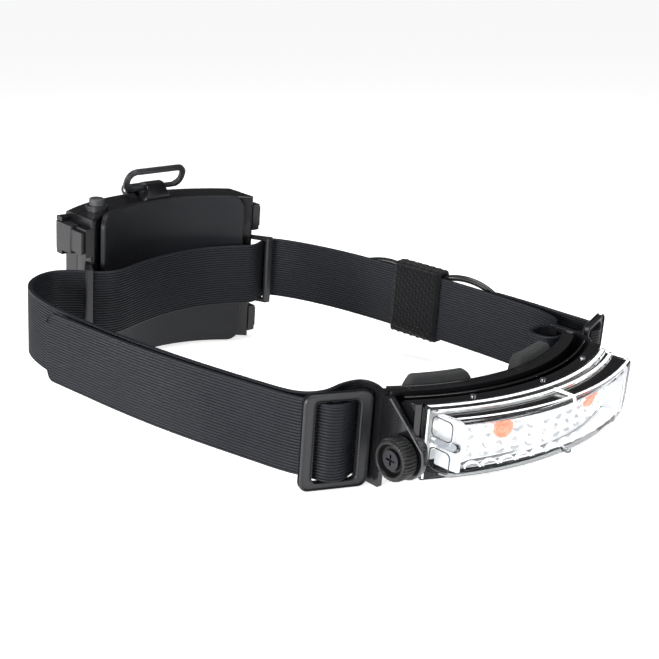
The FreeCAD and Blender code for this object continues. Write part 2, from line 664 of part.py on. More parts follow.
def battery_cover():
    """Rear half of the case: hinged at the top, with ears for the latch pins."""
    body = case_half("battery_cover", "dim.cover_inner", "dim.case_outer",
                     "dim.cover_inner - 5", "dim.case_outer - dim.case_wall - 0.2", "61")
    arm = outline(body, "YZ_Plane", [("dim.cover_inner + 1.2", "dim.case_top - 1"),
                                     ("dim.cover_inner + 6", "dim.case_top - 1"),
                                     ("dim.hinge_back + 2", "dim.hinge_height + 1.4"),
                                     ("dim.hinge_back", "dim.hinge_height")], "-5.2")
    feature(body, "Pad", arm, Length=10.4)
    knuckle = disc(body, "YZ_Plane", "dim.hinge_back", "dim.hinge_height",
                   "dim.knuckle_radius", "-5.2")
    feature(body, "Pad", knuckle, Length=10.4)
    pin = disc(body, "YZ_Plane", "dim.hinge_back", "dim.hinge_height", "dim.hinge_pin + 0.06",
               "-12")
    feature(body, "Pocket", pin, Length=24.0, Reversed=True)
    for side in ("", "-"):
        for foot in ("dim.latch_foot - 2.2", "dim.latch_foot + dim.latch_tall + 0.2",
                     "-dim.latch_foot - dim.latch_tall - 2.2", "-dim.latch_foot + 0.2"):
            ear = box_outline(body, "XY_Plane", f"{side}(dim.case_half - 0.5)",
                              f"{side}(dim.case_half + 5)", "67.2", "71.6", foot)
            feature(body, "Pad", ear, Length=2.0)
    doc.recompute()
    return body


LATCH_PIN = (50.2, 69.4)


def latches():
    """Four side latches that turn on upright pins and reach over the tray's catches."""
    pins = []
    tall = dim("latch_tall")
    half = dim("case_half")
    for side, across in (("left", -1), ("right", 1)):
        for level, foot in (("upper", dim("latch_foot")), ("lower", -dim("latch_foot") - tall)):
            x, y = across * LATCH_PIN[0], LATCH_PIN[1]
            xs = sorted((across * (half + 0.7), across * (half + 5.6)))
            lever = block((xs[0], 59.4, foot + 0.1), (xs[1], 71.7, foot + tall - 0.1))
            upright = [edge for edge in lever.Edges if long_axis(edge, 2)]
            lever = lever.makeFillet(1.0, upright)
            xs = sorted((across * (half + 3.65), across * (half + 5.0)))
            tongue = block((xs[0], 51.2, foot + 1.6), (xs[1], 60.4, foot + tall - 1.6))
            lever = lever.fuse(tongue).removeSplitter()
            lever = lever.cut(rod(0.86, tall + 4, V(x, y, foot - 2), V(0, 0, 1)))
            solid(f"latch_{side}_{level}", lever, PACK)
            pins.append(rod(0.8, tall + 3.6, V(x, y, foot - 1.8), V(0, 0, 1)))
    solid("latch_pins", Part.makeCompound(pins), PACK)


def drill_latch_ears():
    """Pin holes through the cover's latch ears."""
    body = [obj for obj, _ in pieces if obj.Label == "battery_cover"][0]
    for side in ("", "-"):
        sketch = disc(body, "XY_Plane", f"{side}{LATCH_PIN[0]}", f"{LATCH_PIN[1]}", "0.81", "-38")
        feature(body, "Pocket", sketch, Length=76.0, Reversed=True)
    doc.recompute()


def strap_loops():
    """A bar at each end of the pack, held off it by two arms; the strap goes behind it."""
    reach = dim("case_half")
    for name, side in (("left", -1), ("right", 1)):
        bar = block((50.6, 42.8, -16.8), (54.6, 45.4, 16.8))
        bar = bar.makeFillet(1.1, [edge for edge in bar.Edges if long_axis(edge, 2)])
        loop = bar
        for low in (-16.8, 15.2):
            corners = [V(reach + 0.02, 50.6, low), V(reach + 0.02, 55.6, low),
                       V(54.4, 45.0, low), V(51.2, 43.2, low)]
            arm = Part.Face(Part.makePolygon(corners + corners[:1])).extrude(V(0, 0, 1.6))
            loop = loop.fuse(arm)
        loop = loop.removeSplitter()
        if side < 0:
            loop = loop.mirror(V(0, 0, 0), V(1, 0, 0))
        solid(f"strap_loop_{name}", loop, PACK)


def pack_inside():
    """Cells, springs, contact strips, switch board and switch, cover gasket."""
    turns = (-17.1, -5.7, 5.7, 17.1)
    springs, strips = [], []
    foot, tall = dim("cell_foot"), dim("cell_length")
    for number, turn in enumerate(turns, start=1):
        spot = behind(dim("cell_circle"), turn, foot)
        can = rod(dim("cell_radius"), tall, spot, V(0, 0, 1))
        nub = rod(2.7, 1.0, spot + V(0, 0, tall), V(0, 0, 1))
        solid(f"cell_{number}", can.fuse(nub).removeSplitter(), PACK)
        floor = dim("case_floor") + dim("case_wall")
        spring = Part.makeCone(4.6, 2.6, foot - floor - 0.4, V(spot.x, spot.y, floor + 0.2),
                               V(0, 0, 1))
        bore = Part.makeCone(3.8, 1.8, foot - floor - 0.4, V(spot.x, spot.y, floor + 0.2),
                             V(0, 0, 1))
        springs.append(spring.cut(bore))
    for first in (0, 2):
        middle = behind(dim("cell_circle"), (turns[first] + turns[first + 1]) / 2,
                        foot + tall + 1.1)
        strip = block((-9, -3, 0), (9, 3, 0.5))
        turn = -(turns[first] + turns[first + 1]) / 2
        strip.Placement = Placement(middle, Rotation(V(0, 0, 1), turn))
        strips.append(strip)
    solid("contact_springs", Part.makeCompound(springs), PACK)
    solid("contact_strips", Part.makeCompound(strips), PACK)

    spot = button_spot()
    seat = Placement(V(spot.x, spot.y, 0), Rotation(V(0, 0, 1), dim("button_turn")))
    board = block((-5.4, -3.2, 22.4), (5.4, 3.0, 23.6))
    switch = block((-3, -2.4, 23.6), (3, 2.4, 27.2))
    for label, shape in (("switch_board", board), ("push_switch", switch)):
        shape.Placement = seat
        solid(label, shape, PACK)
    gasket = new_body("cover_gasket", PACK)
    sweep_arc(gasket, box_corners("dim.parting + 0.03", "dim.cover_inner - 0.03",
                                  "dim.case_floor + 0.2", "dim.case_top - 0.4"), "70")
    sweep_arc(gasket, box_corners("dim.parting - 1", "dim.cover_inner + 1",
                                  "dim.case_floor + 1.4", "dim.case_top - 1.5"), "68.4", cut=True)


def button():
    """Push button standing out of the tray's top, over its switch."""
    spot = button_spot()
    cap = rod(3.5, dim("button_top") - 28.6, V(spot.x, spot.y, 28.6), V(0, 0, 1))
    rim = [edge for edge in cap.Edges if isinstance(edge.Curve, Part.Circle)
           and edge.CenterOfMass.z > 40]
    cap = cap.makeFillet(0.9, rim)
    solid("push_button", cap, PACK)
    collar = tube(5.2, 3.75, 2.4, V(spot.x, spot.y, dim("case_top") + 0.02), V(0, 0, 1))
    solid("button_collar", collar, PACK)


def bail():
    """Hanging loop of round wire, its lower bar running through the tray's mount."""
    long, tall, wire = dim("bail_long"), dim("bail_tall"), dim("bail_wire")
    low = V(0, dim("bail_back"), dim("bail_height"))
    half = (long - 2 * wire) / 2
    high = tall - 2 * wire
    round_ = 3.6
    corners = [V(-half, 0, 0), V(half, 0, 0), V(half, 0, high), V(-half, 0, high)]
    edges = []
    for k, corner in enumerate(corners):
        before = V(corners[k - 1] - corner).normalize()
        after = V(corners[(k + 1) % 4] - corner).normalize()
        first, last = corner + before * round_, corner + after * round_
        middle = corner + (before + after) * round_ * (1 - math.sqrt(0.5))
        edges.append(Part.Arc(first, middle, last).toShape())
        ahead = corners[(k + 1) % 4]
        edges.append(Part.LineSegment(last, ahead - after * round_).toShape())
    path = Part.Wire(edges)
    start = path.OrderedEdges[0].valueAt(path.OrderedEdges[0].FirstParameter)
    way = path.OrderedEdges[0].tangentAt(path.OrderedEdges[0].FirstParameter)
    ring = Part.Wire(Part.Circle(start, way, wire).toShape())
    loop = path.makePipeShell([ring], True, True)
    loop.rotate(V(), V(1, 0, 0), dim("bail_lean"))
    loop.translate(low)
    solid("hanging_loop", loop, PACK)


def hinge_pin():
    solid("hinge_pin", rod(dim("hinge_pin"), 18.6, V(-9.3, dim("hinge_back"),
                                                    dim("hinge_height")), V(1, 0, 0)), PACK)


# ---------------------------------------------------------------- cable

CABLE = [(39.0, 100.2, -3.0), (47.4, 97.0, -2.2), (55.6, 86.4, -0.6), (61.4, 73.4, 2.4),
         (65.8, 60.0, 6.4), (69.0, 46.0, 11.4), (71.0, 34.0, 14.8), (72.3, 22.0, 14.0),
         (73.2, 11.0, 13.4), (74.6, 0.0, 14.0), (77.0, -11.0, 16.8), (80.6, -23.0, 14.4),
         (83.2, -36.0, 5.0), (84.4, -47.6, -6.4), (84.0, -58.0, -16.2), (77.6, -66.0, -19.0),
         (68.6, -69.6, -18.6), (60.2, -72.0, -17.9), (52.8, -77.2, -17.4),
         (46.4, -84.8, -16.5), (40.2, -92.9, -14.6)]


def cable():
    """Round cable from the pack along the outside of the strap to under the bracket."""
    path, radii = rounded_run([V(*point) for point in CABLE])
    edges = path.OrderedEdges
    start = edges[0].valueAt(edges[0].FirstParameter)
    way = edges[0].tangentAt(edges[0].FirstParameter)
    ring = Part.Wire(Part.Circle(start, way, dim("cable_radius")).toShape())
    lead = path.makePipeShell([ring], True, False)
    solid("lamp_cable", lead)
    expected = math.pi * dim("cable_radius") ** 2 * path.Length
    print(f"cable: length {path.Length:.1f}, volume ratio {lead.Volume / expected:.3f}, "
          f"smallest radius {min(radii):.1f}")
    outward = V(*CABLE[0]) - V(*CABLE[1])
    outward.normalize()
    gland = Part.makeCone(3.1, 2.1, 5.2, start + outward * 5.2, outward * -1)
    tray_end = PACK.multVec(V(dim("case_half"), 0, 0)).x
    solid("pack_gland", gland.cut(block((-100, 50, -40), (tray_end + 0.02, 160, 40))))
    tip = V(*CABLE[-1])
    lead_way = (V(*CABLE[-1]) - V(*CABLE[-2])).normalize()
    holder = tube(2.7, dim("cable_radius") + 0.02, 4.0, tip - lead_way * 6.0, lead_way)
    stem = rod(1.4, 7.0, tip - lead_way * 4.0 + V(0, 0, 1.9), V(-0.1, -0.32, 1))
    bore = rod(dim("cable_radius") + 0.02, 12.0, tip - lead_way * 10.0, lead_way)
    clip = holder.fuse(stem.cut(bore)).removeSplitter()
    solid("cable_clip", clip.cut(finished("front_bracket")))


WRAP = [(69.9, 27.0), (70.2, 24.0), (72.25, 11.0), (73.8, -2.0), (74.2, -5.0)]


def cable_wrap():
    """Hook-and-loop wrap that holds the cable to the strap."""
    skin = dim("wrap_skin")
    room = dim("wrap_room")
    foot, top = dim("wrap_foot"), dim("wrap_top")
    outer = band(WRAP[1:4], room + 2 * skin, foot, top)
    hole = band(WRAP[::2], room, foot + skin, top - skin)
    solid("cable_wrap", outer.cut(hole))


# ---------------------------------------------------------------- whole object

def build():
    lamp_housing()
    lens()
    lamp_inside()
    housing_screws()
    for name, side in (("left", -1), ("right", 1)):
        pivot_side(name, side)
    bracket()
    forehead_pads()
    strap()
    buckles()
    pack_plate()
    pack_tray()
    battery_cover()
    drill_latch_ears()
    latches()
    strap_loops()
    pack_inside()
    button()
    bail()
    hinge_pin()
    cable()
    cable_boot()
    cable_wrap()


def lean():
    """Turn every piece about x so that buckles and pack rest on z = 0, then centre it."""
    drop = dim("front_foot") - dim("pack_foot")
    run = dim("rear_foot_back") - dim("front_foot_back")
    angle = math.degrees(math.atan2(drop, run))
    turn = Rotation(V(1, 0, 0), angle)
    contact = turn.multVec(V(0, dim("front_foot_back"), dim("front_foot")))
    shift = V(-dim("middle_across"), -dim("middle_along"), -contact.z)
    stance = Placement(shift, turn)
    for obj, place in pieces:
        obj.Placement = stance.multiply(place)
    doc.recompute()
    return stance


def check_and_write():
    os.makedirs("parts", exist_ok=True)
    for obj in doc.Objects:
        if "Invalid" in obj.State or "Error" in obj.State:
            raise ValueError(f"{obj.Label} failed: {obj.State}")
    for obj, _ in pieces:
        shape = obj.Shape
        if shape.isNull() or not shape.isValid() or not shape.Solids:
            raise ValueError(f"{obj.Label} has no valid solid")
        shape.exportStep(f"parts/{obj.Label}.step")
    whole = FreeCAD.BoundBox()
    for obj, _ in pieces:
        whole.add(obj.Shape.BoundBox)
    print(f"{len(pieces)} sub-parts, box {whole}")


build()
doc.recompute()
stance = lean()
check_and_write()
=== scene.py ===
"""Head-band lamp: the visual model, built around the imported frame.

Most pieces are drawn in the same level millimetre frame as the CAD source: x along the lamp, -y the
way it shines, z = 0 the middle of the strap. RING and PACK carry them into the row frame.
"""
import math

import bmesh
import bpy
from mathutils import Matrix, Vector


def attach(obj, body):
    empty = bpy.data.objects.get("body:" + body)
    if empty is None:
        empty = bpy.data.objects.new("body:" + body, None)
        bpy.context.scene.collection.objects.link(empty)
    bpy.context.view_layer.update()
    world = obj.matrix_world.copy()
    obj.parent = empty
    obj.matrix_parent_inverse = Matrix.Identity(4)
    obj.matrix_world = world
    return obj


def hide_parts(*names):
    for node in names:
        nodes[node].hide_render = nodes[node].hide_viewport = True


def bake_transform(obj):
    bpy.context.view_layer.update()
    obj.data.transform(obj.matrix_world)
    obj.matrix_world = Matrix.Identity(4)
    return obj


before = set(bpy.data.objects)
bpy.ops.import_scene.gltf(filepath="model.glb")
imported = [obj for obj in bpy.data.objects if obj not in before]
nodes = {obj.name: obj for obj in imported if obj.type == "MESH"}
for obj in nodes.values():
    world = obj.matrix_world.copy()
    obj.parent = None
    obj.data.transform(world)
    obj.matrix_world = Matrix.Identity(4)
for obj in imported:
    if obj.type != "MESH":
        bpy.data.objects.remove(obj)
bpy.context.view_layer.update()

STANCE_TURN = math.atan2(18.5, 179.7)
STANCE_SHIFT = (0.00884, -0.0003, 0.02731)
MILLIMETRE = Matrix.Diagonal((0.001, 0.001, 0.001, 1.0))
RING = Matrix.Translation(STANCE_SHIFT) @ Matrix.Rotation(STANCE_TURN, 4, "X") @ MILLIMETRE
PACK = RING @ Matrix.Translation((-11.0, 43.0, 0.0))
PIVOT = Vector((0.0, -103.4, -1.0))
UP = Vector((0.0, 0.0, 1.0))
SIDES = (("left", -1), ("right", 1))


# ------------------------------------------------------------------ camera, light, floor

def camera():
    """The fitted view: focal length, the view's right, down and forward ways, and its place."""
    data = bpy.data.cameras.new("view")
    data.lens = 68.3
    data.sensor_width = 36.0
    data.clip_start = 0.01
    eye = bpy.data.objects.new("view", data)
    bpy.context.collection.objects.link(eye)
    right = Vector((0.72815, -0.68541, -0.00281))
    down = Vector((-0.18237, -0.18979, -0.96474))
    ahead = Vector((0.66071, 0.70299, -0.2632))
    turn = Matrix((right, -down, -ahead)).transposed().to_4x4()
    eye.matrix_world = Matrix.Translation((-0.34816, -0.38322, 0.17286)) @ turn
    bpy.context.scene.camera = eye


def area_light(name, place, aim, size, power):
    data = bpy.data.lights.new(name, "AREA")
    data.shape = "RECTANGLE"
    data.size, data.size_y = size
    data.energy = power
    lamp = bpy.data.objects.new(name, data)
    bpy.context.collection.objects.link(lamp)
    way = Vector(aim) - Vector(place)
    lamp.rotation_euler = way.to_track_quat("-Z", "Y").to_euler()
    lamp.location = place


SKY_LEVELS = ((0.02, 0.5), (0.05, 0.06), (0.55, 0.05))


def studio():
    """White glowing ground, four area lights, and a sky that is bright only near the horizon.

    The sky stays dim higher up, because glossy black parts would mirror it.
    """
    world = bpy.data.worlds.new("studio")
    world.use_nodes = True
    tree = world.node_tree
    sky = tree.nodes["Background"]
    where = tree.nodes.new("ShaderNodeTexCoord")
    parts = tree.nodes.new("ShaderNodeSeparateXYZ")
    ramp = tree.nodes.new("ShaderNodeValToRGB")
    stops = ramp.color_ramp.elements
    stops[0].position = 0.0
    stops[0].color = (1.0, 1.0, 1.0, 1.0)
    stops[1].position = 0.95
    stops[1].color = (0.5, 0.5, 0.51, 1.0)
    for position, level in SKY_LEVELS:
        stop = stops.new(position)
        stop.color = (level, level, level * 1.02, 1.0)
    tree.links.new(where.outputs["Generated"], parts.inputs["Vector"])
    tree.links.new(parts.outputs["Z"], ramp.inputs["Fac"])
    tree.links.new(ramp.outputs["Color"], sky.inputs["Color"])
    sky.inputs["Strength"].default_value = 1.0
    bpy.context.scene.world = world
    bpy.context.scene.view_settings.view_transform = "Standard"
    area_light("overhead", (0.0, -0.1, 0.95), (0.0, 0.0, 0.0), (0.7, 0.5), 5.5)
    area_light("key", (-0.95, -0.3, 0.16), (0.0, 0.0, 0.03), (0.4, 0.22), 9.5)
    area_light("side", (-0.9, 0.45, 0.3), (-0.1, 0.05, 0.03), (0.12, 0.3), 5.0)
    area_light("front", (0.1, -1.0, 0.35), (0.0, -0.1, 0.02), (0.5, 0.12), 2.4)
    bpy.ops.mesh.primitive_grid_add(x_subdivisions=2, y_subdivisions=2, size=120.0,
                                    location=(0.0, 0.0, -0.0002))
    floor = bpy.context.object
    floor.name = "studio_floor"
    paper = surface("floor_paper", (0.9, 0.9, 0.9), 0.8, grain=(300, 0.02), specular=0.0)
    floor.data.materials.append(glow(paper, (1.0, 1.0, 1.0), 0.72))


# ------------------------------------------------------------------ materials

def put(node, values):
    """Set a node's own inputs by name."""
    for name, value in values.items():
        node.inputs[name].default_value = value


def surface(name, colour, roughness, grain=(900, 0.05), spread=0.12, patches=60.0, metal=0.0,
            coat=0.0, sheen=0.0, specular=0.5, wear=0.06):
    """A procedural finish: fine grain in the bump, slow patches in colour and roughness."""
    made = bpy.data.materials.new(name)
    made.use_nodes = True
    tree = made.node_tree
    shader = tree.nodes["Principled BSDF"]
    where = tree.nodes.new("ShaderNodeTexCoord")
    slow = tree.nodes.new("ShaderNodeTexNoise")
    put(slow, {"Scale": patches, "Detail": 4.0})
    tree.links.new(where.outputs["Object"], slow.inputs["Vector"])
    tone = tree.nodes.new("ShaderNodeMapRange")
    put(tone, {"From Min": 0.3, "From Max": 0.7,
               "To Min": max(0.02, roughness * (1.0 - spread)),
               "To Max": min(1.0, roughness * (1.0 + spread))})
    tree.links.new(slow.outputs["Fac"], tone.inputs["Value"])
    tree.links.new(tone.outputs["Result"], shader.inputs["Roughness"])
    shade = tree.nodes.new("ShaderNodeMix")
    shade.data_type = "RGBA"
    low = [part * (1.0 - wear) for part in colour]
    high = [min(1.0, part * (1.0 + wear)) for part in colour]
    shade.inputs["A"].default_value = (*low, 1.0)
    shade.inputs["B"].default_value = (*high, 1.0)
    tree.links.new(slow.outputs["Fac"], shade.inputs["Factor"])
    tree.links.new(shade.outputs["Result"], shader.inputs["Base Color"])
    fine = tree.nodes.new("ShaderNodeTexNoise")
    put(fine, {"Scale": grain[0], "Detail": 3.0})
    tree.links.new(where.outputs["Object"], fine.inputs["Vector"])
    bump = tree.nodes.new("ShaderNodeBump")
    put(bump, {"Strength": grain[1], "Distance": 0.0004})
    tree.links.new(fine.outputs["Fac"], bump.inputs["Height"])
    tree.links.new(bump.outputs["Normal"], shader.inputs["Normal"])
    put(shader, {"Metallic": metal, "Coat Weight": coat, "Coat Roughness": 0.06,
                 "Specular IOR Level": specular, "Sheen Weight": sheen,
                 "Sheen Tint": (1.0, 1.0, 1.0, 1.0)})
    return made


def glow(made, colour, strength):
    put(made.node_tree.nodes["Principled BSDF"],
        {"Emission Color": (*colour, 1.0), "Emission Strength": strength})
    return made


def clear_plastic(name, bending, tint=(0.97, 0.985, 1.0)):
    made = surface(name, tint, 0.04, grain=(120, 0.015), wear=0.01)
    put(made.node_tree.nodes["Principled BSDF"], {"Transmission Weight": 1.0, "IOR": bending})
    return made


def woven(name, colour, pitch):
    """Cloth: crossing threads in the bump over a soft fuzz, with sheen."""
    made = surface(name, colour, 0.9, grain=(4200, 0.5), patches=250.0, sheen=0.12, wear=0.25,
                   specular=0.08)
    tree = made.node_tree
    where = tree.nodes["Texture Coordinate"]
    bump = tree.nodes["Bump"]
    threads = tree.nodes.new("ShaderNodeTexWave")
    threads.wave_type = "BANDS"
    threads.bands_direction = "Z"
    put(threads, {"Scale": 1.0 / pitch, "Distortion": 1.4})
    tree.links.new(where.outputs["Object"], threads.inputs["Vector"])
    under = tree.nodes.new("ShaderNodeBump")
    put(under, {"Strength": 0.35, "Distance": 0.0003})
    tree.links.new(threads.outputs["Fac"], under.inputs["Height"])
    tree.links.new(under.outputs["Normal"], bump.inputs["Normal"])
    return made


FINISH = {}


def finishes():
    FINISH.update({
        "gloss": surface("gloss_black", (0.006, 0.006, 0.007), 0.16, grain=(500, 0.03), coat=0.35),
        "bracket": surface("bracket_black", (0.007, 0.007, 0.008), 0.2, grain=(500, 0.03),
                           coat=0.3),
        "satin": surface("satin_black", (0.013, 0.0135, 0.0155), 0.38, grain=(2600, 0.1)),
        "knob": surface("knob_black", (0.006, 0.006, 0.0065), 0.34, grain=(2200, 0.08),
                        specular=0.35),
        "plate": surface("plate_satin", (0.011, 0.0116, 0.0142), 0.4, grain=(2600, 0.12),
                         specular=0.25),
        "case": surface("case_black", (0.005, 0.005, 0.006), 0.3, grain=(1800, 0.06), coat=0.1,
                        specular=0.35),
        "latch": surface("latch_black", (0.013, 0.0135, 0.015), 0.45, grain=(2400, 0.12)),
        "strap": surface("strap_silicone", (0.0105, 0.0115, 0.0148), 0.44, grain=(1500, 0.06),
                         patches=40.0, spread=0.2, wear=0.12, specular=0.22),
        "felt": woven("pad_felt", (0.03, 0.0305, 0.0315), 0.0011),
        "cloth": woven("wrap_cloth", (0.006, 0.006, 0.007), 0.0013),
        "button": surface("button_grey", (0.045, 0.047, 0.05), 0.5, grain=(1800, 0.08)),
        "seal": surface("seal_rubber", (0.014, 0.014, 0.015), 0.75, grain=(1500, 0.15)),
        "cable": surface("cable_black", (0.009, 0.009, 0.01), 0.3, grain=(900, 0.05)),
        "steel": surface("steel", (0.62, 0.63, 0.65), 0.28, grain=(3000, 0.05), metal=1.0),
        "dark_steel": surface("dark_steel", (0.05, 0.05, 0.055), 0.35, grain=(3000, 0.08),
                              metal=1.0),
        "nickel": surface("nickel", (0.72, 0.7, 0.66), 0.22, grain=(2500, 0.05), metal=1.0),
        "brass": surface("brass", (0.72, 0.5, 0.2), 0.3, grain=(2500, 0.05), metal=1.0),
        # painted light: the silver reflector glows white, though it is no lamp
        "optic": glow(surface("reflector_silver", (0.93, 0.94, 0.97), 0.1, grain=(700, 0.2),
                              metal=0.55), (0.96, 0.98, 1.0), 0.26),
        "white_led": glow(surface("led_white", (0.95, 0.93, 0.82), 0.15, grain=(900, 0.1)),
                          (1.0, 0.98, 0.93), 1.6),
        "amber_led": glow(surface("led_amber", (0.9, 0.24, 0.16), 0.2, grain=(900, 0.1)),
                          (1.0, 0.22, 0.13), 0.85),
        "board": surface("board_white", (0.82, 0.84, 0.84), 0.35, grain=(900, 0.05)),
        "green": surface("board_green", (0.02, 0.13, 0.05), 0.3, grain=(900, 0.08)),
        "switch": surface("switch_black", (0.04, 0.04, 0.04), 0.5),
        "cell": surface("cell_jacket", (0.05, 0.22, 0.32), 0.3, grain=(700, 0.04), coat=0.4),
        "lens": clear_plastic("lens_clear", 1.13),
        # painted highlight: a glowing white finish for the bright lines on the clear lens
        "painted_highlight_white": glow(surface("painted_highlight_white", (0.93, 0.94, 0.96), 0.12, grain=(900, 0.03)),
                          (1.0, 1.0, 1.0), 0.55),
        # painted light: the white backing glows, though it is no lamp
        "glowing_backing": glow(surface("backing_white_glow", (0.9, 0.91, 0.93), 0.25, grain=(900, 0.08)),
                        (1.0, 1.0, 1.0), 0.24),
        # painted shade: a dark finish for the window outlines in the clear lens
        "painted_shade_edge": surface("lens_painted_shade_edge", (0.05, 0.052, 0.056), 0.2, grain=(900, 0.03)),
        "rod": clear_plastic("lens_rod", 1.5, (0.72, 0.74, 0.77)),
        # painted highlight: a lighter grey for the bright edge line round each black lug
        "lug_painted_highlight": surface("lug_painted_highlight", (0.06, 0.062, 0.066), 0.3, grain=(900, 0.03)),
    })


# ------------------------------------------------------------------ mesh helpers

def new_piece(name, points, faces, finish, body, slot, place=RING, smooth=40.0):
    mesh = bpy.data.meshes.new(name)
    mesh.from_pydata([place @ Vector(point) for point in points], [], faces)
    made = bpy.data.objects.new(name, mesh)
    bpy.context.collection.objects.link(made)
    tidy(mesh)
    set_smooth(mesh, smooth)
    mesh.materials.append(FINISH[finish])
    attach(made, body)
    return made


def tidy(mesh, merge=1e-7):
    """Join doubled points and turn every face outward."""
    work = bmesh.new()
    work.from_mesh(mesh)
    bmesh.ops.remove_doubles(work, verts=work.verts, dist=merge)
    bmesh.ops.recalc_face_normals(work, faces=work.faces)
    work.to_mesh(mesh)
    work.free()


def set_smooth(mesh, angle):
    """Smooth shading, with edges sharper than the angle kept crisp."""
    work = bmesh.new()
    work.from_mesh(mesh)
    limit = math.radians(angle)
    for face in work.faces:
        face.smooth = True
    for edge in work.edges:
        edge.smooth = len(edge.link_faces) != 2 or edge.calc_face_angle(0.0) < limit
    work.to_mesh(mesh)
    work.free()


def loft(sections, closed=True, caps=True, around=False):
    """Points and faces of a skin through equal sections; each section is a list of points."""
    count = len(sections[0])
    points = [point for section in sections for point in section]
    faces = []
    spans = len(sections) if around else len(sections) - 1
    for row in range(spans):
        low = row * count
        high = (row + 1) % len(sections) * count
        for k in range(count if closed else count - 1):
            nxt = (k + 1) % count
            faces.append((low + k, low + nxt, high + nxt, high + k))
    if caps and closed and not around:
        faces.append(tuple(range(count)))
        last = (len(sections) - 1) * count
        faces.append(tuple(range(last, last + count)))
    return points, faces


def extend(points, faces, more, extra):
    """Add a second skin's points and faces to the first."""
    shift = len(points)
    points += more
    faces += [tuple(shift + k for k in face) for face in extra]


BEVEL_ANGLE = 30.0
WELD = 2e-6
FLAT_ANGLE = 0.6


def bevel(made, width, segments):
    mod = made.modifiers.new("Bevel", "BEVEL")
    mod.width = width
    mod.segments = segments
    mod.limit_method = "ANGLE"
    mod.angle_limit = math.radians(BEVEL_ANGLE)
    mod.harden_normals = False


def rounded_copy(node, finish, body, width=0.0004, segments=2):
    """A CAD node's own shape with real rounded edges, shown in its place."""
    made = bpy.data.objects.new(f"{node}_shell", nodes[node].data.copy())
    bpy.context.collection.objects.link(made)
    mesh = made.data
    work = bmesh.new()
    work.from_mesh(mesh)
    bmesh.ops.remove_doubles(work, verts=work.verts, dist=WELD)
    bmesh.ops.dissolve_limit(work, angle_limit=math.radians(FLAT_ANGLE), verts=work.verts,
                             edges=work.edges)
    work.to_mesh(mesh)
    work.free()
    mesh.materials.clear()
    mesh.materials.append(FINISH[finish])
    set_smooth(mesh, 60.0)
    bevel(made, width, segments)
    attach(made, body)
    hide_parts(node)


FINE_STEPS = 24


def smooth_run(corners, step):
    """Even points and tangents along the quadratic spline of a list of corners."""
    corners = [Vector(corner) for corner in corners]
    fine = [corners[0]]
    last = len(corners) - 2
    for k in range(1, last + 1):
        start = corners[0] if k == 1 else (corners[k - 1] + corners[k]) / 2
        end = corners[-1] if k == last else (corners[k] + corners[k + 1]) / 2
        for n in range(1, FINE_STEPS + 1):
            t = n / FINE_STEPS
            fine.append(start * (1 - t) ** 2 + corners[k] * 2 * t * (1 - t) + end * t * t)
    far = [0.0]
    for a, b in zip(fine, fine[1:]):
        far.append(far[-1] + (b - a).length)
    count = max(2, int(far[-1] / step))
    run = []
    k = 0
    for n in range(count + 1):
        want = far[-1] * n / count
        while k < len(far) - 2 and far[k + 1] < want:
            k += 1
        share = (want - far[k]) / max(1e-9, far[k + 1] - far[k])
        run.append((fine[k].lerp(fine[k + 1], share), want))
    ways = []
    for n in range(count + 1):
        a = run[max(0, n - 1)][0]
        b = run[min(count, n + 1)][0]
        ways.append((b - a).normalized())
    return [(spot, way, want) for (spot, want), way in zip(run, ways)]


def rounded_rectangle(half_u, half_v, radius, per=6):
    ring = []
    for quarter, (u, v) in enumerate(((1, 1), (-1, 1), (-1, -1), (1, -1))):
        for k in range(per + 1):
            angle = math.radians(90.0 * (quarter + k / per))
            ring.append((u * (half_u - radius) + radius * math.cos(angle),
                         v * (half_v - radius) + radius * math.sin(angle)))
    return ring


def tube(name, spots, radius, kind, rounds, finish):
    """A round bar along a curve through a row of points; returns the object and its spline."""
    data = bpy.data.curves.new(name, "CURVE")
    data.dimensions = "3D"
    data.bevel_depth = radius * 0.001
    data.bevel_resolution = rounds
    data.use_fill_caps = True
    line = data.splines.new(kind)
    line.points.add(len(spots) - 1)
    for point, spot in zip(line.points, spots):
        point.co = (*(RING @ Vector(spot)), 1.0)
    made = bpy.data.objects.new(name, data)
    bpy.context.collection.objects.link(made)
    data.materials.append(FINISH[finish])
    return made, line


def bead(name, path, radius, finish, body, closed=False):
    """A fine raised line through a row of points."""
    made, line = tube(name, path, radius, "POLY", 3, finish)
    line.use_cyclic_u = closed
    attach(made, body)


# Shares of the radius: how wide the dome is, and how far it has gone forward.
DOME = ((1.0, 0.0), (0.86, 0.5), (0.5, 0.86), (0.08, 0.99))


def capsule(path, height, radius):
    """Round sections along (x, depth) points, with a domed last end."""
    spots = [Vector((x, -depth, height)) for x, depth in path]
    sections = []
    for k, spot in enumerate(spots):
        way = (spots[min(k + 1, len(spots) - 1)] - spots[max(k - 1, 0)]).normalized()
        side = way.cross(UP).normalized()
        up = side.cross(way)
        rings = DOME if k == len(spots) - 1 else DOME[:1]
        for shrink, shift in rings:
            middle = spot + way * radius * shift
            ring = []
            for n in range(14):
                angle = math.tau * n / 14
                ring.append(middle + side * radius * shrink * math.cos(angle)
                            + up * radius * shrink * math.sin(angle))
            sections.append(ring)
    return sections


def flip_inner(mesh):
    """Turn the normals of every closed shell but the largest towards its hollow."""
    work = bmesh.new()
    work.from_mesh(mesh)
    left = set(work.faces)
    shells = []
    while left:
        seed = left.pop()
        shell = {seed}
        waiting = [seed]
        while waiting:
            face = waiting.pop()
            for edge in face.edges:
                for other in edge.link_faces:
                    if other in left:
                        left.discard(other)
                        shell.add(other)
                        waiting.append(other)
        shells.append(shell)
    largest = max(shells, key=len)
    for shell in shells:
        if shell is not largest:
            bmesh.ops.reverse_faces(work, faces=list(shell))
    work.to_mesh(mesh)
    work.free()


# ------------------------------------------------------------------ strap

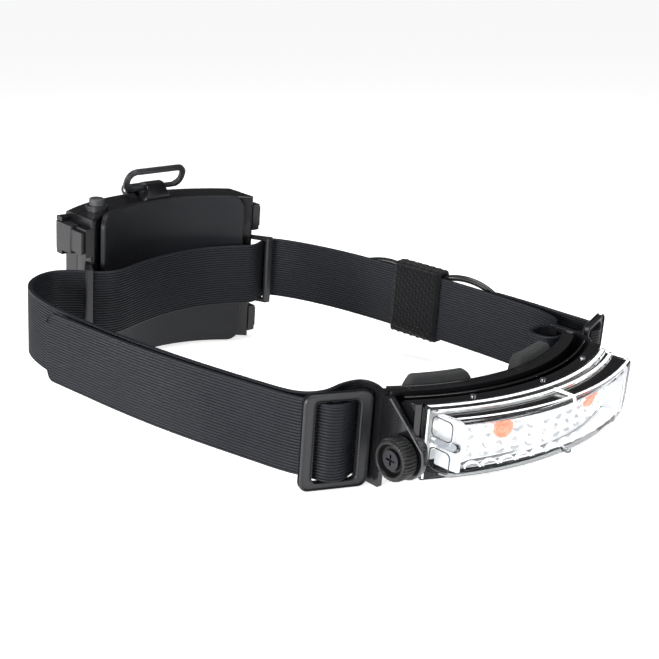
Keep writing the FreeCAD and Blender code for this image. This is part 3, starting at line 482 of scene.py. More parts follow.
BUCKLES = {"left": (Vector((-71.2, -82.0)), Vector((0.9225, -0.386)).normalized()),
           "right": (Vector((76.0, -84.8)), Vector((-0.94, -0.342)).normalized())}
U_TURN = [(-58.0, -82.8), (-48.6, -83.4), (-47.4, -71.6), (-57.0, -69.8)]
LEFT_SIDE = [(-68.4, -72.4), (-77.6, -67.4), (-82.2, -52.0), (-87.6, -31.0), (-92.6, -9.0),
             (-96.4, 13.5), (-99.0, 37.0), (-100.3, 60.0), (-97.0, 82.0), (-87.6, 94.6),
             (-75.0, 99.6), (-66.0, 94.6)]
BACK_RUN = [(-57.4, 86.4), (-49.0, 84.6), (-33.0, 90.6), (-14.0, 95.0), (5.0, 95.2),
            (20.0, 90.8), (30.6, 85.6), (37.8, 89.0)]
RIGHT_SIDE = [(45.4, 93.2), (53.6, 80.6), (61.4, 60.0), (66.6, 36.0), (70.4, 11.0),
              (73.2, -14.0), (75.2, -38.0), (75.6, -57.0), (72.4, -68.6), (65.0, -72.0)]
LEFT_OUTER = [(-81.2, -67.8), (-85.3, -52.6), (-91.2, -31.0), (-96.2, -9.0), (-100.0, 13.5),
              (-102.7, 36.0), (-104.9, 53.2)]
RIGHT_OUTER = [(81.0, -66.0), (80.3, -52.0), (79.0, -38.0), (77.2, -26.0)]
STRAP_HALF = 15.0
STRAP_FACE = 0.95
STRAP_LIP = 1.1
TAIL_RADIUS = 5.0
RIBS = 24
RIB_STEPS = 4
RIB_DEPTH = 0.42


def by_buckle(name, along, out):
    """A level point near a buckle: along its face towards the lamp, and outward from it."""
    spot, way = BUCKLES[name]
    turn = 1.0 if name == "left" else -1.0
    forward = Vector((way.y, -way.x)) * turn
    point = spot + way * along + forward * out
    return (point.x, point.y)


def through_buckle(name):
    """The strap's way up over the buckle's bar and down behind it."""
    steps = [(8.2, -3.6), (2.6, 2.2), (-3.4, 2.4), (-8.2, -3.8)]
    return [by_buckle(name, along, out) for along, out in steps]


def mirrored(points):
    return [(-x, y) for x, y in points]


def strap_section():
    """Across the strap: a smooth lip at each edge and fine ribs on both faces."""
    face = [(STRAP_FACE * 0.55, -STRAP_HALF + 0.1), (STRAP_FACE * 0.95, -STRAP_HALF + 0.4),
            (STRAP_FACE, -STRAP_HALF + STRAP_LIP * 0.8)]
    span = 2 * (STRAP_HALF - STRAP_LIP)
    steps = RIBS * RIB_STEPS
    for k in range(steps + 1):
        wave = 0.5 - 0.5 * math.cos(math.tau * k / RIB_STEPS)
        face.append((STRAP_FACE - RIB_DEPTH * (1 - wave ** 0.6),
                     -STRAP_HALF + STRAP_LIP + span * k / steps))
    face += [(out, -height) for out, height in reversed(face[:3])]
    return face + [(-out, height) for out, height in reversed(face)]


def strap():
    """One ribbed band: tail, buckle, slot, round the head, slot, buckle, tail."""
    corners = LEFT_OUTER[::-1] + through_buckle("left")[::-1] + U_TURN + LEFT_SIDE + BACK_RUN
    corners += RIGHT_SIDE + mirrored(U_TURN)[::-1] + through_buckle("right") + RIGHT_OUTER
    run = smooth_run([(x, y, 0.0) for x, y in corners], 1.5)
    whole = run[-1][2]
    section = strap_section()
    sections = []
    for spot, way, far in run:
        normal = Vector((way.y, -way.x, 0.0))
        near_end = max(0.0, 1.0 - min(far, whole - far) / TAIL_RADIUS)
        limit = STRAP_HALF - TAIL_RADIUS * (1.0 - math.sqrt(1.0 - near_end ** 2))
        sections.append([spot + normal * out + UP * max(-limit, min(limit, height))
                         for out, height in section])
    points, faces = loft(sections)
    band = new_piece("head_strap", points, faces, "strap", "head_band", "strap_silicone",
                     smooth=75.0)
    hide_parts("strap_rear_run", "strap_left_end", "strap_right_end")


# ------------------------------------------------------------------ buckles

BUCKLE_OUTER = (13.0, 18.5, 3.4)
BUCKLE_WINDOW = (8.3, 15.5, 1.9)
BUCKLE_HALF_THICK = 1.6
BUCKLE_EDGE = 0.75
BAR_HALF_LONG = 15.8
BAR_HALF_WIDE = 1.7
BAR_HALF_THICK = 0.65
BAR_SINK = 0.9


def buckle_section(wide):
    """Outline across one side of the frame, as (inset, height); the inner edge is tighter."""
    edge = []
    for k in range(4, -1, -1):
        angle = math.radians(90.0 * k / 4)
        edge.append((BUCKLE_EDGE * (1 - math.sin(angle)),
                     BUCKLE_HALF_THICK - BUCKLE_EDGE * (1 - math.cos(angle))))
    inner = [(wide - u * 0.7, v) for u, v in edge]
    outline = edge[::-1] + inner
    outline += [(u, -v) for u, v in inner[::-1]] + [(u, -v) for u, v in edge]
    return outline


def buckle_frame(name, spot, way, out):
    sections = []
    for (ou, ov), (iu, iv) in zip(rounded_rectangle(*BUCKLE_OUTER, 8),
                                  rounded_rectangle(*BUCKLE_WINDOW, 8)):
        wide = math.hypot(ou - iu, ov - iv)
        ring = []
        for u, v in buckle_section(wide):
            share = u / wide
            ring.append(spot + way * (ou + (iu - ou) * share) + out * v
                        + UP * (ov + (iv - ov) * share))
        sections.append(ring)
    points, faces = loft(sections, around=True)
    made = new_piece(f"buckle_frame_{name}", points, faces, "satin", "head_band", "buckle_black",
                     smooth=50.0)
    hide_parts(f"buckle_{name}")


def buckle_bar(name, spot, way, out):
    """The round-edged bar that the strap runs over."""
    sections = []
    for k in range(13):
        height = -BAR_HALF_LONG + 2.0 * BAR_HALF_LONG * k / 12
        ring = []
        for n in range(10):
            angle = math.tau * n / 10
            ring.append(spot + way * (BAR_HALF_WIDE * math.cos(angle))
                        + out * (-BAR_SINK + BAR_HALF_THICK * math.sin(angle)) + UP * height)
        sections.append(ring)
    points, faces = loft(sections)
    new_piece(f"buckle_bar_{name}", points, faces, "satin", "head_band", "buckle_black")


def buckles():
    for name, (middle, towards_lamp) in BUCKLES.items():
        spot = Vector((*middle, 0.0))
        way = Vector((*towards_lamp, 0.0)) * (1.0 if name == "left" else -1.0)
        out = Vector((way.y, -way.x, 0.0))
        buckle_frame(name, spot, way, out)
        buckle_bar(name, spot, way, out)


# ------------------------------------------------------------------ knobs

def revolve_x(profile, side, count, depth_at):
    """Turn (across, radius) pairs about the pivot axis; depth_at cuts the knurls."""
    sections = []
    for n in range(count):
        angle = math.tau * n / count
        ring = []
        for across, radius in profile:
            r = radius - depth_at(n, across, radius)
            ring.append(PIVOT + Vector((side * across, r * math.cos(angle), r * math.sin(angle))))
        sections.append(ring)
    return loft(sections, around=True)


KNOB = [(59.1, 2.2), (59.1, 6.9), (59.4, 7.5), (59.9, 7.95), (61.0, 8.0), (62.4, 8.0),
        (63.9, 8.0), (64.8, 7.9), (65.4, 7.5), (65.75, 6.95), (65.9, 6.4), (65.8, 5.95),
        (65.4, 5.75), (64.7, 5.5), (63.8, 5.25), (63.35, 4.8), (63.2, 4.4), (63.25, 3.9),
        (63.5, 3.75), (63.65, 3.6), (63.65, 2.2)]
KNURLS = 36
KNURL_STEPS = 8


def knurl(n, across, radius):
    """Depth of the knurls at a step round the knob: full on the rim, shallow on the shoulder."""
    if radius < 6.7 or across < 59.2:
        return 0.0
    wave = 0.5 - 0.5 * math.cos(math.tau * n / KNURL_STEPS)
    deep = 0.5 if radius > 7.4 else 0.22
    return deep * (1.0 - wave) ** 1.5


def knobs():
    for name, side in SIDES:
        points, faces = revolve_x(KNOB, side, KNURLS * KNURL_STEPS, knurl)
        grip = new_piece(f"knob_grip_{name}", points, faces, "knob", f"knob_{name}",
                         "knob_black", smooth=60.0)
        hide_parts(f"tilt_knob_{name}")


# ------------------------------------------------------------------ lens

LENS_HALF = 52.4
# Outlines as (radius about the ring's middle, height) pairs.
LENS_OUTER = [(117.7, 17.2), (119.3, 17.2), (119.55, 17.0), (119.7, 15.9), (121.0, 15.7),
              (121.25, 16.7), (121.5, 16.9), (122.5, 16.9), (122.75, 16.7), (122.95, 15.8),
              (126.0, 16.0), (128.4, 16.4), (129.3, 16.9), (130.2, 16.9), (130.8, 16.3),
              (131.0, 15.0), (130.95, 7.0), (130.8, 0.5), (130.5, -3.6), (130.2, -4.7),
              (129.4, -5.4), (127.0, -5.7), (123.0, -6.3), (121.4, -6.6), (121.0, -7.6),
              (120.2, -7.8), (119.9, -10.2), (119.3, -10.7), (117.7, -10.8)]
LENS_INNER = [(118.2, 13.4), (127.6, 13.2), (128.5, 12.6), (128.8, 11.4), (128.7, 0.4),
              (128.3, -2.4), (127.4, -3.0), (118.2, -4.4)]
LENS_HOLLOW_HALF = 45.6
EASE_LONG = 1.8
# The rod's path as (x, depth) pairs, the rib's as points, the nub as (depth, half size) pairs.
ROD = [(50.4, 108.4), (50.2, 112.0), (50.0, 116.0), (49.7, 119.0)]
ROD_HEIGHT = 5.4
ROD_RADIUS = 1.7
TOP_RIB = [(0.0, -121.8, 17.0), (0.0, -130.0, 17.2), (0.0, -130.9, 16.2), (0.0, -131.2, 13.0)]
NUB = ((126.4, 1.0), (128.4, 1.3), (130.4, 1.3), (131.2, 0.7))
NUB_X = 1.4
NUB_HEIGHT = -4.6


def bar_sections(profile, half, steps, ease=0.0, keep_radius=119.3):
    """Sections of an arc with flat ends; ease pulls the front in towards the ends."""
    sections = []
    for k in range(steps + 1):
        share = -1.0 + 2.0 * k / steps
        x = half * math.sin(share * math.pi / 2)
        near = max(0.0, (abs(x) - half + EASE_LONG) / EASE_LONG)
        pull = ease * (1.0 - math.sqrt(max(0.0, 1.0 - near ** 2)))
        ring = []
        for radius, height in profile:
            r = radius
            if radius > keep_radius:
                r = keep_radius + (radius - keep_radius) * (1.0 - pull)
            ring.append((x, -math.sqrt(r * r - x * x), height))
        sections.append(ring)
    return sections


def lens():
    """Clear cover: stepped flange, crowned face and hollow, with rods and windows at its ends."""
    points, faces = loft(bar_sections(LENS_OUTER, LENS_HALF, 72, ease=0.34))
    extend(points, faces, *loft(bar_sections(LENS_INNER, LENS_HOLLOW_HALF, 60, ease=0.1,
                                             keep_radius=125.0)))
    cover = new_piece("lens_cover", points, faces, "lens", "lamp", "lens_clear", smooth=28.0)
    flip_inner(cover.data)
    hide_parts("lamp_lens")
    for name, side in SIDES:
        points, faces = loft(capsule([(side * x, depth) for x, depth in ROD], ROD_HEIGHT,
                                     ROD_RADIUS))
        new_piece(f"lens_rod_{name}", points, faces, "rod", "lamp", "lens_clear")
        end_wall(side, name)
    # the top rib is drawn in glowing white, a painted highlight
    bead("lens_top_highlight_rib", TOP_RIB, 0.6, "painted_highlight_white", "lamp")
    foot_nub()


def foot_nub():
    """Small round boss near the middle of the cover's foot."""
    sections = []
    for depth, half in NUB:
        ring = []
        for n in range(12):
            angle = math.tau * n / 12
            ring.append((NUB_X + half * math.cos(angle), -depth,
                         NUB_HEIGHT + half * math.sin(angle)))
        sections.append(ring)
    points, faces = loft(sections)
    new_piece("lens_foot_nub", points, faces, "lens", "lamp", "lens_clear")


# Each window: its name, middle height and half height.
WINDOWS = (("upper", 11.4, 3.7), ("lower", -0.4, 4.0))
WINDOW_X = 52.2
WINDOW_DEPTH = 114.3
WINDOW_HALF_DEEP = 4.6
WINDOW_CORNER = 1.9
SCREEN_FACES = (47.4, 48.0)
SCREEN_DEPTHS = ((109.4, 0.4), (110.0, 0.0), (119.2, 0.0), (119.8, 0.4))
SCREEN_FOOT = -4.2
SCREEN_TOP = 14.6


def end_wall(side, name):
    """Dark outlines of the two windows in an end wall, as painted shade, and the pale screen behind
    them, which glows as painted light.
    """
    for part, middle, half in WINDOWS:
        path = [(side * WINDOW_X, -WINDOW_DEPTH + side * u, middle + v)
                for u, v in rounded_rectangle(WINDOW_HALF_DEEP, half, WINDOW_CORNER, 6)]
        # the window outline is drawn dark, painted shade
        bead(f"window_{part}_{name}", path, 0.24, "painted_shade_edge", "lamp", closed=True)
    inside, outside = SCREEN_FACES
    sections = []
    for depth, trim in SCREEN_DEPTHS:
        foot, top = SCREEN_FOOT + trim, SCREEN_TOP - trim
        sections.append([(side * inside, -depth, foot), (side * outside, -depth, foot),
                         (side * outside, -depth, top), (side * inside, -depth, top)])
    points, faces = loft(sections)
    # the screen glows white, painted light
    new_piece(f"end_screen_{name}", points, faces, "glowing_backing", "lamp", "board_white")


def arc_strip(low, high, half, steps=60):
    """A thin strip between two (radius, height) edges along the front arc."""
    sections = []
    for k in range(steps + 1):
        x = -half + 2.0 * half * k / steps
        ring = []
        for lift in (0.0, -0.12):
            for radius, height in ((low, high) if lift == 0.0 else (high, low)):
                ring.append((x, -math.sqrt(radius * radius - x * x), height + lift))
        sections.append(ring)
    return loft(sections)


# Each strip: its two (radius, height) edges and its half length.
# The bright rims glow white as painted highlights.
PAINTED_HIGHLIGHT_RIMS = [((117.8, 17.3), (119.25, 17.3), 51.4), ((121.35, 17.0), (122.65, 17.0), 50.6),
               ((129.2, 17.0), (130.2, 17.0), 50.4)]
DARK_BANDS = [((119.85, 16.1), (120.95, 16.1), 50.8), ((123.15, 16.1), (128.7, 16.5), 50.0)]
END_RIM_X = (51.9, 52.4)
END_RIM_RADIUS = (119.35, 119.6)
END_RIM_HEIGHT = (-10.0, 16.4)
BOX_FACES = ((0, 1, 2, 3), (4, 5, 6, 7), (0, 1, 5, 4), (1, 2, 6, 5), (2, 3, 7, 6), (3, 0, 4, 7))


def lens_lines():
    """Glowing white rims as painted highlights, with the dark bands between them along the top of
    the cover, and glowing white end rims as painted highlights.
    """
    for name, strips, finish, slot in (
            ("lens_painted_highlight_rims", PAINTED_HIGHLIGHT_RIMS, "painted_highlight_white", "lens_clear"),
            ("lens_dark_bands", DARK_BANDS, "gloss", "housing_gloss")):
        points, faces = [], []
        for low, high, half in strips:
            extend(points, faces, *arc_strip(low, high, half))
        new_piece(name, points, faces, finish, "lamp", slot)
    # the end rims glow white, painted highlights
    points, faces = [], []
    near, far = END_RIM_X
    back, front = END_RIM_RADIUS
    for side in (-1, 1):
        ring = []
        for height in END_RIM_HEIGHT:
            for across, out in ((near, back), (far, back), (far, front), (near, front)):
                ring.append((side * across, -math.sqrt(out * out - across * across), height))
        extend(points, faces, ring, BOX_FACES)
    new_piece("lens_end_highlight_rims", points, faces, "painted_highlight_white", "lamp", "lens_clear")


LED_PITCH = 3.42
LED_COUNT = 12
LED_ROWS = (7.9, 0.6)
AMBER_STEP = 3.5
# Each kind of cell: its radius about the ring's middle and its own radius.
WHITE_CELL = (121.0, 3.45)
AMBER_CELL = (122.0, 4.1)
# A cell's middle and rings: share of its radius, and rise.
CELL_RINGS = ((0.0, 1.5), (0.32, 1.1), (0.62, 0.2), (1.0, 0.9), (1.02, -0.8))
BACKING_HALF = 47.2
BACKING = ((119.0, -4.4), (119.9, -4.4), (119.9, 13.2), (119.0, 13.2))
# A cup's arcs: radius about the ring's middle, rise and half width.
CUP_LINES = ((125.2, -0.2, 3.0), (126.4, -0.4, 3.0), (126.6, -1.4, 3.3), (125.4, -1.6, 3.3))
CUP_FOOT = -3.6


def led_way(k):
    """Outward way of the LED at place k in a row, and its steps from the row's middle."""
    step = k - (LED_COUNT - 1) / 2
    turn = math.radians(step * LED_PITCH)
    return Vector((math.sin(turn), -math.cos(turn), 0.0)), step


def cell(middle, out, radius, facets, seed):
    """A faceted bright disc: a raised middle, a ring of slanted facets and a rim."""
    side = Vector((-out.y, out.x, 0.0))
    points = [middle + out * CELL_RINGS[0][1]]
    faces = []
    for row, (share, rise) in enumerate(CELL_RINGS[1:]):
        for k in range(facets):
            angle = math.tau * (k + 0.5 * (row % 2)) / facets
            jitter = 0.22 * math.sin(seed * 7.3 + k * 2.9 + row * 4.1)
            points.append(middle + out * (rise + jitter) + side * radius * share * math.cos(angle)
                          + UP * radius * share * math.sin(angle))
    for k in range(facets):
        faces.append((0, 1 + k, 1 + (k + 1) % facets))
    for row in range(len(CELL_RINGS) - 2):
        low = 1 + row * facets
        high = low + facets
        shift = row % 2
        for k in range(facets):
            nxt = (k + 1) % facets
            faces.append((low + k, low + nxt, high + (nxt if shift else k)))
            faces.append((low + (k if shift else nxt), high + k, high + nxt))
    return points, faces


def led_cells():
    """Two rows of faceted optics, the two amber ones among them; the white ones glow as painted
    light.
    """
    kinds = {"white": ([], []), "amber": ([], [])}
    seed = 0
    for row, height in enumerate(LED_ROWS):
        for k in range(LED_COUNT):
            out, step = led_way(k)
            amber = row == 0 and abs(step) == AMBER_STEP
            depth, radius = AMBER_CELL if amber else WHITE_CELL
            seed += 1
            extend(*kinds["amber" if amber else "white"],
                   *cell(out * depth + UP * height, out, radius, 10, seed))
    optic = new_piece("optic_cells", *kinds["white"], "optic", "lamp", "reflector_silver",
                      smooth=8.0)
    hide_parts("led_reflector")
    new_piece("amber_cells", *kinds["amber"], "amber_led", "lamp", "led_amber", smooth=8.0)


def optic_backing():
    """Curved wall behind the optics, glowing white as painted light."""
    sections = []
    for k in range(61):
        x = BACKING_HALF * math.sin(math.pi / 2 * (-1.0 + k / 30))
        sections.append([(x, -math.sqrt(r * r - x * x), z) for r, z in BACKING])
    points, faces = loft(sections)
    new_piece("optic_backing", points, faces, "glowing_backing", "lamp", "board_white")


def foot_cups():
    """A row of small arched cups along the foot of the lens, drawn in glowing white as painted
    highlights.
    """
    points, faces = [], []
    for k in range(LED_COUNT):
        out = led_way(k)[0]
        side = Vector((-out.y, out.x, 0.0))
        arcs = []
        for depth, rise, wide in CUP_LINES:
            arc = []
            for n in range(13):
                angle = math.pi * n / 12
                lift = (2.4 + rise * 0.5) * math.sin(angle) * 0.8
                arc.append(out * depth + side * wide * math.cos(angle) + UP * (CUP_FOOT + lift))
            arcs.append(arc)
        extend(points, faces, *loft(arcs, closed=False))
    cups = new_piece("foot_cups", points, faces, "painted_highlight_white", "lamp", "reflector_silver")
    skin = cups.modifiers.new("Skin", "SOLIDIFY")
    skin.thickness = 0.0002


# Each bead: radius about the ring's middle, height, half length and the body that it rides on.
TOP_BEADS = {"bracket_top_bead": (100.9, 17.6, 52.0, "head_band"),
             "housing_top_bead": (110.0, 17.3, 53.0, "lamp")}
LUG_FACE = 58.1
LUG_RADIUS = 8.6


def edge_beads():
    """Raised lines on the bracket's top edge, the housing's top edge and round each lug; the lug
    lines are painted lighter than the bracket as a painted highlight.
    """
    for name, (radius, height, half, body) in TOP_BEADS.items():
        path = []
        for k in range(49):
            x = half * (k / 24 - 1.0)
            path.append((x, -math.sqrt(radius * radius - x * x), height))
        bead(name, path, 0.4, "gloss", body)
    for name, side in SIDES:
        x = side * LUG_FACE
        path = [(x, -94.6, 17.3), (x, -103.0, 10.2)]
        for k in range(25):
            angle = math.radians(152.0 + 5.0 * k)
            path.append((x, PIVOT.y + LUG_RADIUS * math.cos(angle),
                         PIVOT.z + LUG_RADIUS * math.sin(angle)))
        # the raised lug line is real, its lighter colour a painted highlight
        bead(f"lug_highlight_bead_{name}", path, 0.38, "lug_painted_highlight", "head_band")


# ------------------------------------------------------------------ pads and wrap

# Each pad: its side and its turn from the front. Sizes are radii, heights and half angles.
PADS = (("left", -18.6), ("right", 11.4))
PAD_STEPS = 26
PAD_HALF_ANGLE = 8.5
PAD_FOOT = -6.0
PAD_TOP = 20.4
PAD_INNER = 94.9
PAD_MIDDLE = 97.6
PAD_OUTER = 100.4
PAD_CORNER = 0.11


def pad_outline(cut):
    """(radius, height) points across a pad; cut grows from 0 to 1 at the chamfered corners."""
    top = PAD_TOP - 5.2 * cut
    foot = PAD_FOOT + 1.2 * cut
    inner = PAD_INNER + 0.7 * cut ** 2
    outline = []
    for n in range(9):
        share = n / 8
        outline.append((inner + 0.35 * (2 * share - 1) ** 4, foot + (top - foot) * share))
    outline += [(inner + 1.0, top + 0.15), (PAD_MIDDLE, top + 0.22), (PAD_OUTER - 0.8, top + 0.1),
                (PAD_OUTER, top - 0.4), (PAD_OUTER, (top + foot) / 2), (PAD_OUTER, foot + 0.4),
                (PAD_OUTER - 0.8, foot - 0.1), (PAD_MIDDLE, foot - 0.2), (inner + 1.0, foot - 0.1)]
    return outline


def pads():
    """Felt blocks with chamfered top corners and a soft, slightly uneven nap."""
    for name, turn in PADS:
        spin = Matrix.Rotation(math.radians(turn), 4, "Z")
        sections = []
        for k in range(PAD_STEPS + 1):
            angle = math.radians(-PAD_HALF_ANGLE + 2.0 * PAD_HALF_ANGLE * k / PAD_STEPS)
            near = min(k, PAD_STEPS - k) / PAD_STEPS
            ring = []
            for r, z in pad_outline(max(0.0, PAD_CORNER - near) / PAD_CORNER):
                lump = 0.10 * math.sin(r * 3.1 + z * 1.3 + k * 0.9) * math.sin(z * 0.8 + k)
                ring.append(spin @ Vector(((r + lump) * math.sin(angle),
                                           -(r + lump) * math.cos(angle), z + lump * 0.6)))
            sections.append(ring)
        points, faces = loft(sections)
        pad = new_piece(f"felt_pad_{name}", points, faces, "felt", "head_band", "pad_felt",
                        smooth=70.0)
        mod = pad.modifiers.new("Soft", "SUBSURF")
        mod.levels = 1
        mod.render_levels = 1
        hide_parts(f"forehead_pad_{name}")


WRAP = [(70.2, 24.0, 0.0), (72.25, 11.0, 0.0), (73.8, -2.0, 0.0)]
# Half sizes of the wrap's outside and inside, out from the strap and up.
WRAP_OUTER = (4.25, 17.4)
WRAP_INNER = (3.25, 16.3)
WRAP_MIDDLE = 0.3
WRAP_SWELL = 0.35
WRAP_CALM = 1.2
WEAVE_ALONG = 1.9
WEAVE_ACROSS = 1.6
FLAP_FOOT = -13.6
FLAP_TOP = 17.0
FLAP_ROWS = 96
FLAP_FRONT = 5.05
FLAP_BACK = 4.1
HEM = 0.11


def weave(along, across):
    """Height of a plain basket weave, in millimetres."""
    u = math.pi * along / WEAVE_ALONG
    v = math.pi * across / WEAVE_ACROSS
    over = math.sin(u) * math.sin(v)
    return 0.42 * abs(over) ** 0.7 * (1.0 if over > 0 else 0.3)


def wrap_ring(half_out, half_up):
    """A boxy round outline in (out, up), drawn with many points."""
    power = 2.0 / 7.0
    ring = []
    for n in range(720):
        angle = math.tau * n / 720
        c, s = math.cos(angle), math.sin(angle)
        ring.append((half_out * math.copysign(abs(c) ** power, c),
                     WRAP_MIDDLE + half_up * math.copysign(abs(s) ** power, s)))
    return ring


def even_ring(ring, count):
    """The same outline with evenly spaced points; returns (out, up, far, normal)."""
    size = len(ring)
    far = [0.0]
    for k in range(size):
        a, b = ring[k], ring[(k + 1) % size]
        far.append(far[-1] + math.hypot(b[0] - a[0], b[1] - a[1]))
    made = []
    k = 0
    for n in range(count):
        want = far[-1] * n / count
        while far[k + 1] < want:
            k += 1
        a, b = ring[k], ring[(k + 1) % size]
        step = far[k + 1] - far[k]
        share = (want - far[k]) / step if step > 0 else 0.0
        way = Vector((b[0] - a[0], b[1] - a[1])).normalized()
        made.append((a[0] + (b[0] - a[0]) * share, a[1] + (b[1] - a[1]) * share, want,
                     (way.y, -way.x)))
    return made


def wrap_sleeve(run):
    """Woven tube round strap and cable, with rolled ends."""
    outer = even_ring(wrap_ring(*WRAP_OUTER), 300)
    inner = even_ring(wrap_ring(*WRAP_INNER), 300)
    whole = run[-1][2]
    sections = []
    for spot, way, far in run:
        normal = Vector((-way.y, way.x, 0.0))
        edge = min(far, whole - far)
        lip = 0.5 * max(0.0, 1.0 - edge / 0.6) ** 2
        calm = min(1.0, edge / WRAP_CALM)
        ring = []
        for out, up, around, (nu, nv) in outer:
            puff = weave(far, around) * calm - lip
            swell = WRAP_SWELL * math.sin(math.pi * far / whole) * abs(nu)
            ring.append(spot + normal * (out + nu * (puff + swell)) + UP * (up + nv * puff))
        sections.append(ring)
    for spot, way, far in run[::-1][::6]:
        normal = Vector((-way.y, way.x, 0.0))
        sections.append([spot + normal * out + UP * up for out, up, _, _ in inner])
    points, faces = loft(sections, around=True)
    sleeve = new_piece("cable_wrap_sleeve", points, faces, "cloth", "head_band", "wrap_cloth",
                       smooth=80.0)
    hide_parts("cable_wrap")


def wrap_flap(run):
    """The flap on the inside, cut at a slant, with a hem and a stitch line along its foot."""
    whole = run[-1][2]
    flap_run = [item for item in run if 1.2 < item[2] < whole - 0.6]
    start, end = flap_run[0][2], flap_run[-1][2]
    sections = []
    for spot, way, far in flap_run:
        inward = Vector((way.y, -way.x, 0.0))
        edge = min(far - start, end - far)
        lip = 0.45 * max(0.0, 1.0 - edge / 0.7) ** 2
        slant = 2.2 * (far - start) / (end - start)
        swell = WRAP_SWELL * math.sin(math.pi * far / whole)
        front, back = [], []
        for n in range(FLAP_ROWS + 1):
            share = n / FLAP_ROWS
            height = FLAP_FOOT - slant + (FLAP_TOP - FLAP_FOOT + slant) * share
            hem = 0.45 if share < HEM else 0.0
            stitch = -0.25 if HEM - 0.005 < share < HEM + 0.015 else 0.0
            tip = 0.4 * max(0.0, 1.0 - share / 0.02) ** 2
            lift = FLAP_FRONT + weave(far + 0.4, height) * min(1.0, edge / WRAP_CALM)
            front.append(spot + inward * (lift + hem + stitch - lip - tip + swell) + UP * height)
            back.append(spot + inward * FLAP_BACK + UP * height)
        sections.append(front + back[::-1])
    points, faces = loft(sections)
    new_piece("cable_wrap_flap", points, faces, "cloth", "head_band", "wrap_cloth", smooth=80.0)


def cable_wrap():
    """Woven hook-and-loop wrap round strap and cable, with a hemmed flap on its inside."""
    run = smooth_run(WRAP, 0.32)
    wrap_sleeve(run)
    wrap_flap(run)


# ------------------------------------------------------------------ cable

CABLE = [(39.0, 100.2, -3.0), (47.4, 97.0, -2.2), (55.6, 86.4, -0.6), (61.4, 73.4, 2.4),
         (65.8, 60.0, 6.4), (69.0, 46.0, 11.4), (71.0, 34.0, 14.8), (72.3, 22.0, 14.0),
         (73.2, 11.0, 13.4), (74.6, 0.0, 14.0), (77.0, -11.0, 16.8), (80.6, -23.0, 14.4),
         (83.2, -36.0, 5.0), (84.4, -47.6, -6.4), (84.0, -58.0, -16.2), (77.6, -66.0, -19.0),
         (68.6, -69.6, -18.6), (60.2, -72.0, -17.9), (52.8, -77.2, -17.4),
         (46.4, -84.8, -16.5), (40.2, -92.9, -14.6)]
LEAD = [(41.0, -91.9, -14.8), (38.0, -96.6, -14.4), (34.4, -100.6, -15.2), (31.4, -105.6, -16.0),
        (30.2, -109.4, -12.6)]


def round_lead(name, corners, radius):
    """A round cable as one smooth curve through given points."""
    made, line = tube(name, corners, radius, "NURBS", 6, "cable")
    made.data.resolution_u = 10
    line.order_u = 3
    line.use_endpoint_u = True
    return made


def cables():
    """The cable along the strap, and the short lead to the lamp."""
    run = round_lead("cable_run", CABLE, 1.5)
    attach(run, "head_band")
    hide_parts("lamp_cable")
    curve = round_lead("cable_to_lamp", LEAD, 1.45)
    bpy.context.view_layer.update()
    depsgraph = bpy.context.evaluated_depsgraph_get()
    mesh = bpy.data.meshes.new_from_object(curve.evaluated_get(depsgraph))
    bpy.data.objects.remove(curve)
    lead = bpy.data.objects.new("cable_to_lamp", mesh)
    bpy.context.collection.objects.link(lead)
    set_smooth(mesh, 60.0)
    mesh.materials.clear()
    mesh.materials.append(FINISH["cable"])
    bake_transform(lead)


# ------------------------------------------------------------------ hanging loop and tab

LOOP_MIDDLE = (15.8, 5.0, 4.2)
LOOP_LEAN = 25.0
LOOP_AXIS = Vector((0.0, 71.0, 42.8))
LOOP_HALF_WIDE = 1.45
LOOP_HALF_FOOT = 1.15
LOOP_HALF_THICK = 1.15
LOOP_SOFT = 0.55


def hanging_loop():
    """Flat-sided loop, wider than thick, standing in its mount."""
    half_high = LOOP_MIDDLE[1]
    middle = rounded_rectangle(*LOOP_MIDDLE, 8)
    lean = Matrix.Rotation(math.radians(LOOP_LEAN), 4, "X")
    thick, soft = LOOP_HALF_THICK, LOOP_SOFT
    sections = []
    for k, (u, v) in enumerate(middle):
        before, after = middle[k - 1], middle[(k + 1) % len(middle)]
        way = Vector((after[0] - before[0], 0.0, after[1] - before[1])).normalized()
        out = Vector((way.z, 0.0, -way.x))
        w = LOOP_HALF_FOOT if v < 0.1 - half_high else LOOP_HALF_WIDE
        ring = []
        for a, b in ((w, thick - soft), (w - soft, thick), (-w + soft, thick),
                     (-w, thick - soft), (-w, -thick + soft), (-w + soft, -thick),
                     (w - soft, -thick), (w, -thick + soft)):
            ring.append(LOOP_AXIS + lean @ (Vector((u, b, v + half_high)) + out * a))
        sections.append(ring)
    points, faces = loft(sections, around=True)
    loop = new_piece("hanging_loop_bar", points, faces, "satin", "hanging_loop", "loop_black",
                     place=PACK, smooth=35.0)
    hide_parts("hanging_loop")


# Height, half width, front and back of the tab.
LOOP_TAB = ((36.4, 7.6, 66.3, 68.6), (38.2, 7.4, 65.4, 69.0), (39.8, 6.4, 65.4, 69.2),
            (42.4, 5.4, 66.4, 69.4), (44.4, 5.1, 67.4, 69.6))


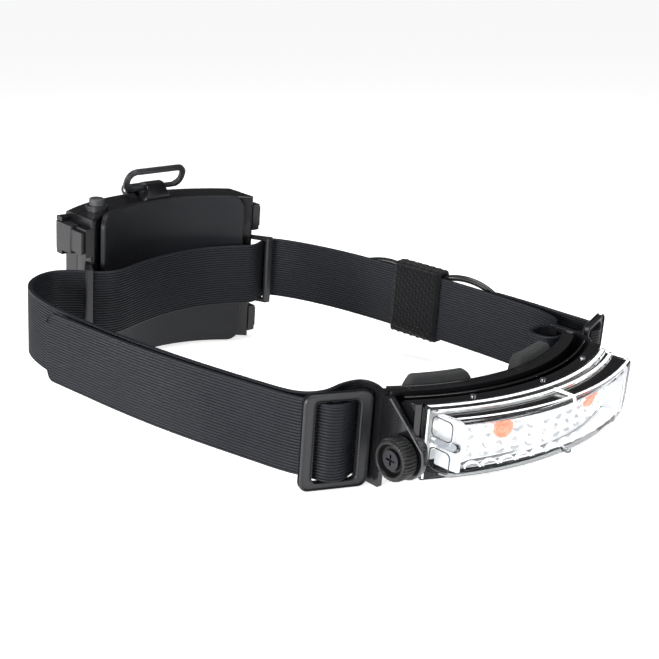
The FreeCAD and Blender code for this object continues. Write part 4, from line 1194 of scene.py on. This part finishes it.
def loop_tab():
    """Tapering tab that runs up from the plate to the loop's mount."""
    sections = []
    for z, half, front, back in LOOP_TAB:
        ring = []
        for u, v in rounded_rectangle(half, (back - front) / 2, 0.5, 3):
            ring.append((u, (front + back) / 2 + v, z))
        sections.append(ring)
    points, faces = loft(sections)
    new_piece("loop_tab", points, faces, "case", "head_band", "case_black", place=PACK)


# ------------------------------------------------------------------ the rest

CARRIED = {
    # the LED reflector node takes the glowing reflector finish, painted light
    "led_board": "board", "lens_gasket": "seal", "led_reflector": "optic",
    "white_leds": "white_led", "amber_leds": "amber_led", "housing_screws": "steel",
    "pivot_insert_left": "brass", "pivot_insert_right": "brass", "tilt_washer_left": "nickel",
    "tilt_washer_right": "nickel", "knob_screw_left": "dark_steel",
    "knob_screw_right": "dark_steel", "latch_pins": "steel", "contact_springs": "nickel",
    "contact_strips": "nickel", "switch_board": "green", "push_switch": "switch",
    "cover_gasket": "seal", "hinge_pin": "steel", "cell_1": "cell", "cell_2": "cell",
    "cell_3": "cell", "cell_4": "cell", "pack_gland": "seal", "lamp_boot": "seal",
    "cable_clip": "satin", "button_collar": "satin",
}
LATCHES = ("latch_left_upper", "latch_left_lower", "latch_right_upper", "latch_right_lower")


def rest():
    rounded_copy("front_bracket", "bracket", "head_band", width=0.0005, segments=3)
    rounded_copy("lamp_housing", "gloss", "lamp", width=0.0005, segments=3)
    rounded_copy("pack_plate", "plate", "head_band", width=0.0008, segments=3)
    rounded_copy("pack_tray", "case", "head_band", width=0.0004)
    rounded_copy("battery_cover", "case", "cover", width=0.0004)
    rounded_copy("push_button", "button", "button", width=0.0003)
    for name in LATCHES:
        rounded_copy(name, "latch", name, width=0.0004)
    for name in ("strap_loop_left", "strap_loop_right"):
        rounded_copy(name, "satin", "head_band", width=0.0005)
    for node, finish in CARRIED.items():
        mesh = nodes[node].data
        mesh.materials.clear()
        mesh.materials.append(FINISH[finish])


camera()
finishes()
studio()
strap()
buckles()
knobs()
lens()
lens_lines()
led_cells()
optic_backing()
foot_cups()
edge_beads()
pads()
cable_wrap()
cables()
hanging_loop()
loop_tab()
rest()

bpy.context.view_layer.update()
